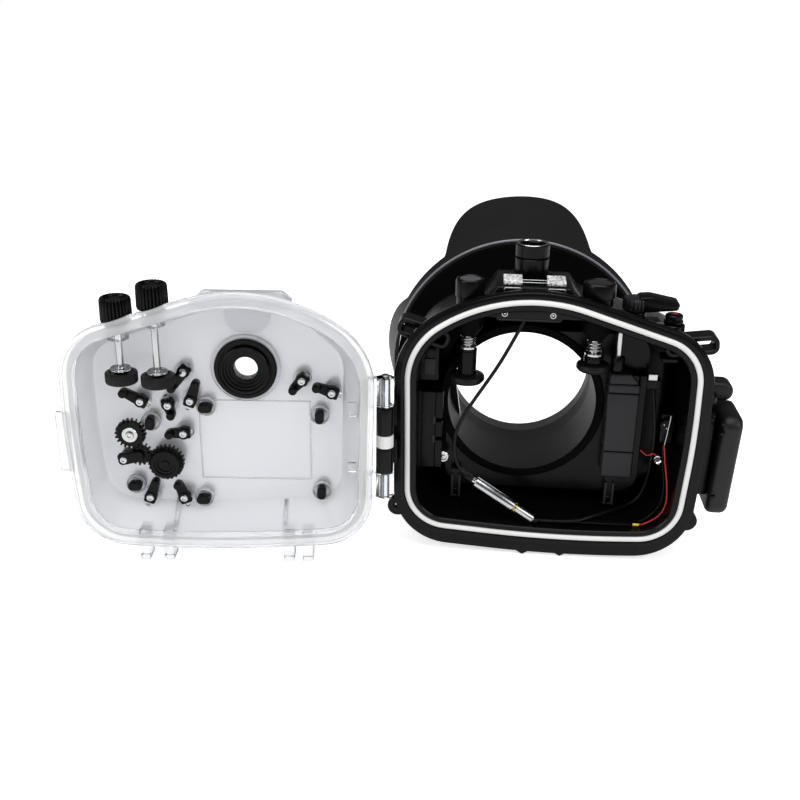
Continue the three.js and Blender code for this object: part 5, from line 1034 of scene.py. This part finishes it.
dress(block("grip_back", (49.8, 66.4, 24, 31.6, -40, 24), on_body, "y", 0.8), black_abs, "housing")
dress(block("grip_pin", (71.2, 76.4, 22.4, 25.4, 21.9, 25.6), on_body, "y", 0.4, 0.3), turned_steel,
      "housing")
# The bracket's back and its three teeth; each bar's limits in x and z.
bracket_bars = [(-59, -50.5, -40, 9), (-50.6, -46, -8, 9), (-50.6, -46, -20, -10), (-50.6, -46, -40, -22)]
for i, (x0, x1, z0, z1) in enumerate(bracket_bars):
    nodes = ("side_bracket",) if i == 0 else ()
    dress(block(f"bracket_bar_{i}", (x0, x1, 22, 26.8, z0, z1), on_body, "y", 1.0, 0.5), black_abs, "housing",
          *nodes)
for i, z in enumerate((-9, -21)):
    dress(block(f"bracket_stop_{i}", (-52.5, -50.2, 21.4, 26.5, z - 2.6, z + 2.6), on_body, "y", 0.8),
          pad_grey, "housing")
dress(block("bracket_lip", (-60.6, -58.8, 20.5, 27, -41, 10), on_body, "y", 0.8), black_abs, "housing")
for i, (x, z, r, y) in enumerate(INNER_SCREWS):
    head = [(r, y + 1.2), (r, y + 0.3), (r * 0.9, y), (r * 0.66, y), (r * 0.6, y + 1.0)]
    dress(spun(f"inner_screw_{i}", head, (x, 0, z), "y", on_body, 36, closed=False), turned_steel, "housing")
    dress(spun(f"inner_socket_{i}", [(r * 0.32, y + 1.1), (r * 0.3, y + 0.4), (r * 0.12, y + 0.2)], (x, 0, z),
               "y", on_body, 20, closed=False), turned_steel, "housing")
dress(block("screw_plate_line", (-16.6, 16.6, 1.2, 1.9, 61.4, 62.0), on_body, "y", 0.25, 0.2), pad_grey,
      "housing")
dress(block("left_slide_block", (-61, -49, 22, 32, 16, 37), on_body, "y", 1.8, 0.8), black_abs, "housing")
dress(block("left_slide_step", (-58, -51, 20.6, 22.6, 20, 30), on_body, "y", 1.2, 0.5), pad_grey, "housing")
dress(spun("left_slide_button", barrel(3.4, 19.6, 23, 0.6), (-54.6, 0, 34), "y", on_body, 36, closed=False),
      black_abs, "housing")
for tag, x in (("left", -37), ("right", 55.5)):
    for side in (-1, 1):
        middle = x + side * 2.2
        rib = (middle - 0.7, middle + 0.7, 25, 33, -60.6, -46)
        dress(block(f"cradle_rib_{tag}_{side}", rib, on_body, "y", 0.5, 0.3), pad_grey, "housing")
    dress(spun("cradle_clip_" + tag, eye_profile(1.4, 3.2, 26, 29, 0.4), (x, 0, -58.5), "y", on_body, 28),
          black_abs, "housing")

# Leads and leak sensor
# Thin black leads join the valve's plate to a plated plug and run on to the strip, sensor and buzzer.
# The plug is bright metal with one gold ring; a red and a black wire meet a gold-plated terminal.
UPPER_LEAD = [(-1, 12, 60.4), (-6.8, 11, 48), (-16, 10, 30), (-33.4, 9, 0.4), (-38.2, 9, -15.4),
              (-36, 10, -31), (-27.8, 10, -40.2)]
LOWER_LEAD = [(11.4, 6.4, -63.6), (18, 5.9, -63.6), (34, 5.5, -62.6), (44, 10, -61.5), (55, 18, -61.5),
              (70, 28, -60), (76.5, 29, -50), (78.5, 26, -28), (78, 24, -7), (75, 25, 15.6)]
RED_WIRE = [(71.5, 6, -63.2), (76, 6, -61.6), (83.6, 8, -57), (87, 10, -49.5), (86.4, 11, -38),
            (84.6, 14, -26), (84, 20, -17.5)]
BLACK_WIRE = [(71.2, 8, -62.3), (76, 9, -60.2), (82, 12, -55.6), (85, 13, -48.5), (84.9, 13.4, -38),
              (83.6, 16, -27), (83, 20, -17.5)]
# PVC sheath: black with a soft highlight along the lead.
black_pvc = finish("black_pvc_lead", 0x060607, rough=0.34, grain_mm=0.5, relief_mm=0.02, rough_swing=0.05,
                   settings={"IOR": 1.3})
dress(tube("upper_lead", UPPER_LEAD, 1.1, on_body), black_pvc, "housing", "cable_upper")
dress(tube("lower_lead", LOWER_LEAD, 1.0, on_body, 160), black_pvc, "housing", "cable_lower")
dress(tube("red_wire", RED_WIRE, 0.48, on_body), red_pvc, "housing", "sensor_wire")
dress(tube("black_wire", BLACK_WIRE, 0.4, on_body), black_pvc, "housing")
dress(tube("red_tail", [(71, 22, -22), (75, 22, -25), (79, 22, -24), (82, 22, -27)], 0.4, on_body, 40),
      red_pvc, "housing")
PLUG_FROM = np.array([-27.4, 10, -40.4])
PLUG_TO = np.array([10.2, 6.2, -63.4])
PLUG_START = (0, 0, 0)
PLUG_AXIS = (PLUG_TO - PLUG_FROM) / np.linalg.norm(PLUG_TO - PLUG_FROM)


def on_plug(points):
    """Points along the plug's own axis, which slants across the body's floor."""
    across = np.cross(PLUG_AXIS, (0, 1, 0))
    across /= np.linalg.norm(across)
    upward = np.cross(across, PLUG_AXIS)
    spots = np.asarray(points, float).reshape(-1, 3)
    return on_body(PLUG_FROM + spots[:, 0:1] * across + spots[:, 1:2] * upward + spots[:, 2:3] * PLUG_AXIS)


# Gold plate: a warm, bright line.
gold = finish("gold_plated_ring", 0xD9B65A, rough=0.2, metal=1.0, grain_mm=0.3, relief_mm=0.01,
              rough_swing=0.04)
plug_line = [(1.4, 0), (1.7, 0.6), (1.7, 2.4), (3.0, 2.8), (3.2, 3.2), (3.2, 29.4), (2.9, 29.8), (2.7, 30.2),
             (2.7, 43.2), (2.4, 43.7), (1.4, 43.9)]
dress(spun("plated_plug", plug_line, PLUG_START, "z", on_plug, 48, closed=False), turned_steel, "housing",
      "connector")
dress(spun("plug_ring", eye_profile(2.2, 3.3, 30.5, 31.4, 0.2), PLUG_START, "z", on_plug, 48), gold,
      "housing")
dress(spun("plug_boot_from", barrel(2.0, -4.5, 1, 0.6), PLUG_START, "z", on_plug, 28, closed=False),
      black_pvc, "housing")
dress(spun("plug_boot_to", barrel(2.0, 43, 46.5, 0.6), PLUG_START, "z", on_plug, 28, closed=False), black_pvc,
      "housing")
dress(block("brass_terminal", (68, 72.6, 4.6, 8.4, -64.6, -61.6), on_body, "z", 0.8, 0.4), gold, "housing")
dress(block("leak_board", (22, 70, 6, 10.5, -64.4, -63.3), on_body, "z", 0.5, 0.3), black_pvc, "housing",
      "leak_strip")
dress(spun("sensor_lamp", barrel(1.8, 17, 21.4, 0.7), (81, 0, -26.5), "y", on_body, 28, closed=False),
      clear_polycarbonate, "housing")
dress(spun("buzzer", barrel(4.4, 19.5, 26, 0.7), (84.6, 0, -5), "y", on_body, 48, closed=False), black_abs,
      "housing", "sensor_module")
dress(block("buzzer_board", (81.4, 88.4, 23, 26, -17, 1), on_body, "y", 0.8, 0.4), black_pvc, "housing")
BUZZER_DOTS = [(82.6, -4), (84.2, -6.2)]
for i, (x, z) in enumerate(BUZZER_DOTS):
    dress(spun(f"buzzer_dot_{i}", barrel(0.5, 19.2, 19.8, 0.15), (x, 0, z), "y", on_body, 16, closed=False),
          turned_steel, "housing")
dress(tube("bare_wire", [(84, 20.5, -19), (84.6, 19.6, -12), (85.4, 19, -3), (85.8, 19, 2)], 0.35, on_body,
           40), turned_steel, "housing")

# Latch
# A grip lever on the right flank: a moulded slab with well rounded edges that turns between two ears of its
# base. Above it stand a shoulder of the casting and a moulded lug.
LATCH_PIN = (108, 41, 0)
dress(block("latch_seat", (98.9, 110, 14, 34, -46, 6), on_body, "x", 3.0, 0.8), black_anodised, "housing",
      "latch_base")
dress(block("latch_shoulder", (99, 111.5, 20, 39, 1.5, 15.5), on_body, "z", 4.5, 2.5), black_anodised,
      "housing")
for tag, z in (("upper", 2), ("lower", -42)):
    dress(spun("latch_ear_" + tag, barrel(3.6, z - 4, z + 4, 0.6), LATCH_PIN, "z", on_body, 36, closed=False),
          black_anodised, "housing")
grip_corners = [(6, -55, 7), (44, -55, 7), (44, 6.5, 9), (6, 6.5, 7)]


def on_latch(points):
    """Points leant outwards by one part in twenty of their height, as the open grip stands."""
    spots = np.asarray(points, float).reshape(-1, 3)
    return on_body(np.stack([spots[:, 0] + (spots[:, 2] + 20) / 20, spots[:, 1], spots[:, 2]], axis=1))


dress(slab("latch_grip", grip_corners, 111.2, 123.6, on_latch, "x", 3.8, 12), satin_abs, "latch",
      "latch_lever")
dress(block("latch_lug", (104, 121, 26, 40, 9.4, 20.6), on_body, "y", 5.4, 2.4), satin_abs, "housing")
dress(spun("latch_barrel", barrel(3.8, -37.5, -2.5, 0.6), LATCH_PIN, "z", on_body, 36, closed=False),
      satin_abs, "latch")
for i, z in enumerate((-42, -2, 4)):
    dress(spun(f"latch_rivet_{i}", barrel(1.1, 4.9, 7.5, 0.4), (112.4, 0, z), "y", on_body, 20, closed=False),
          black_anodised, "latch")
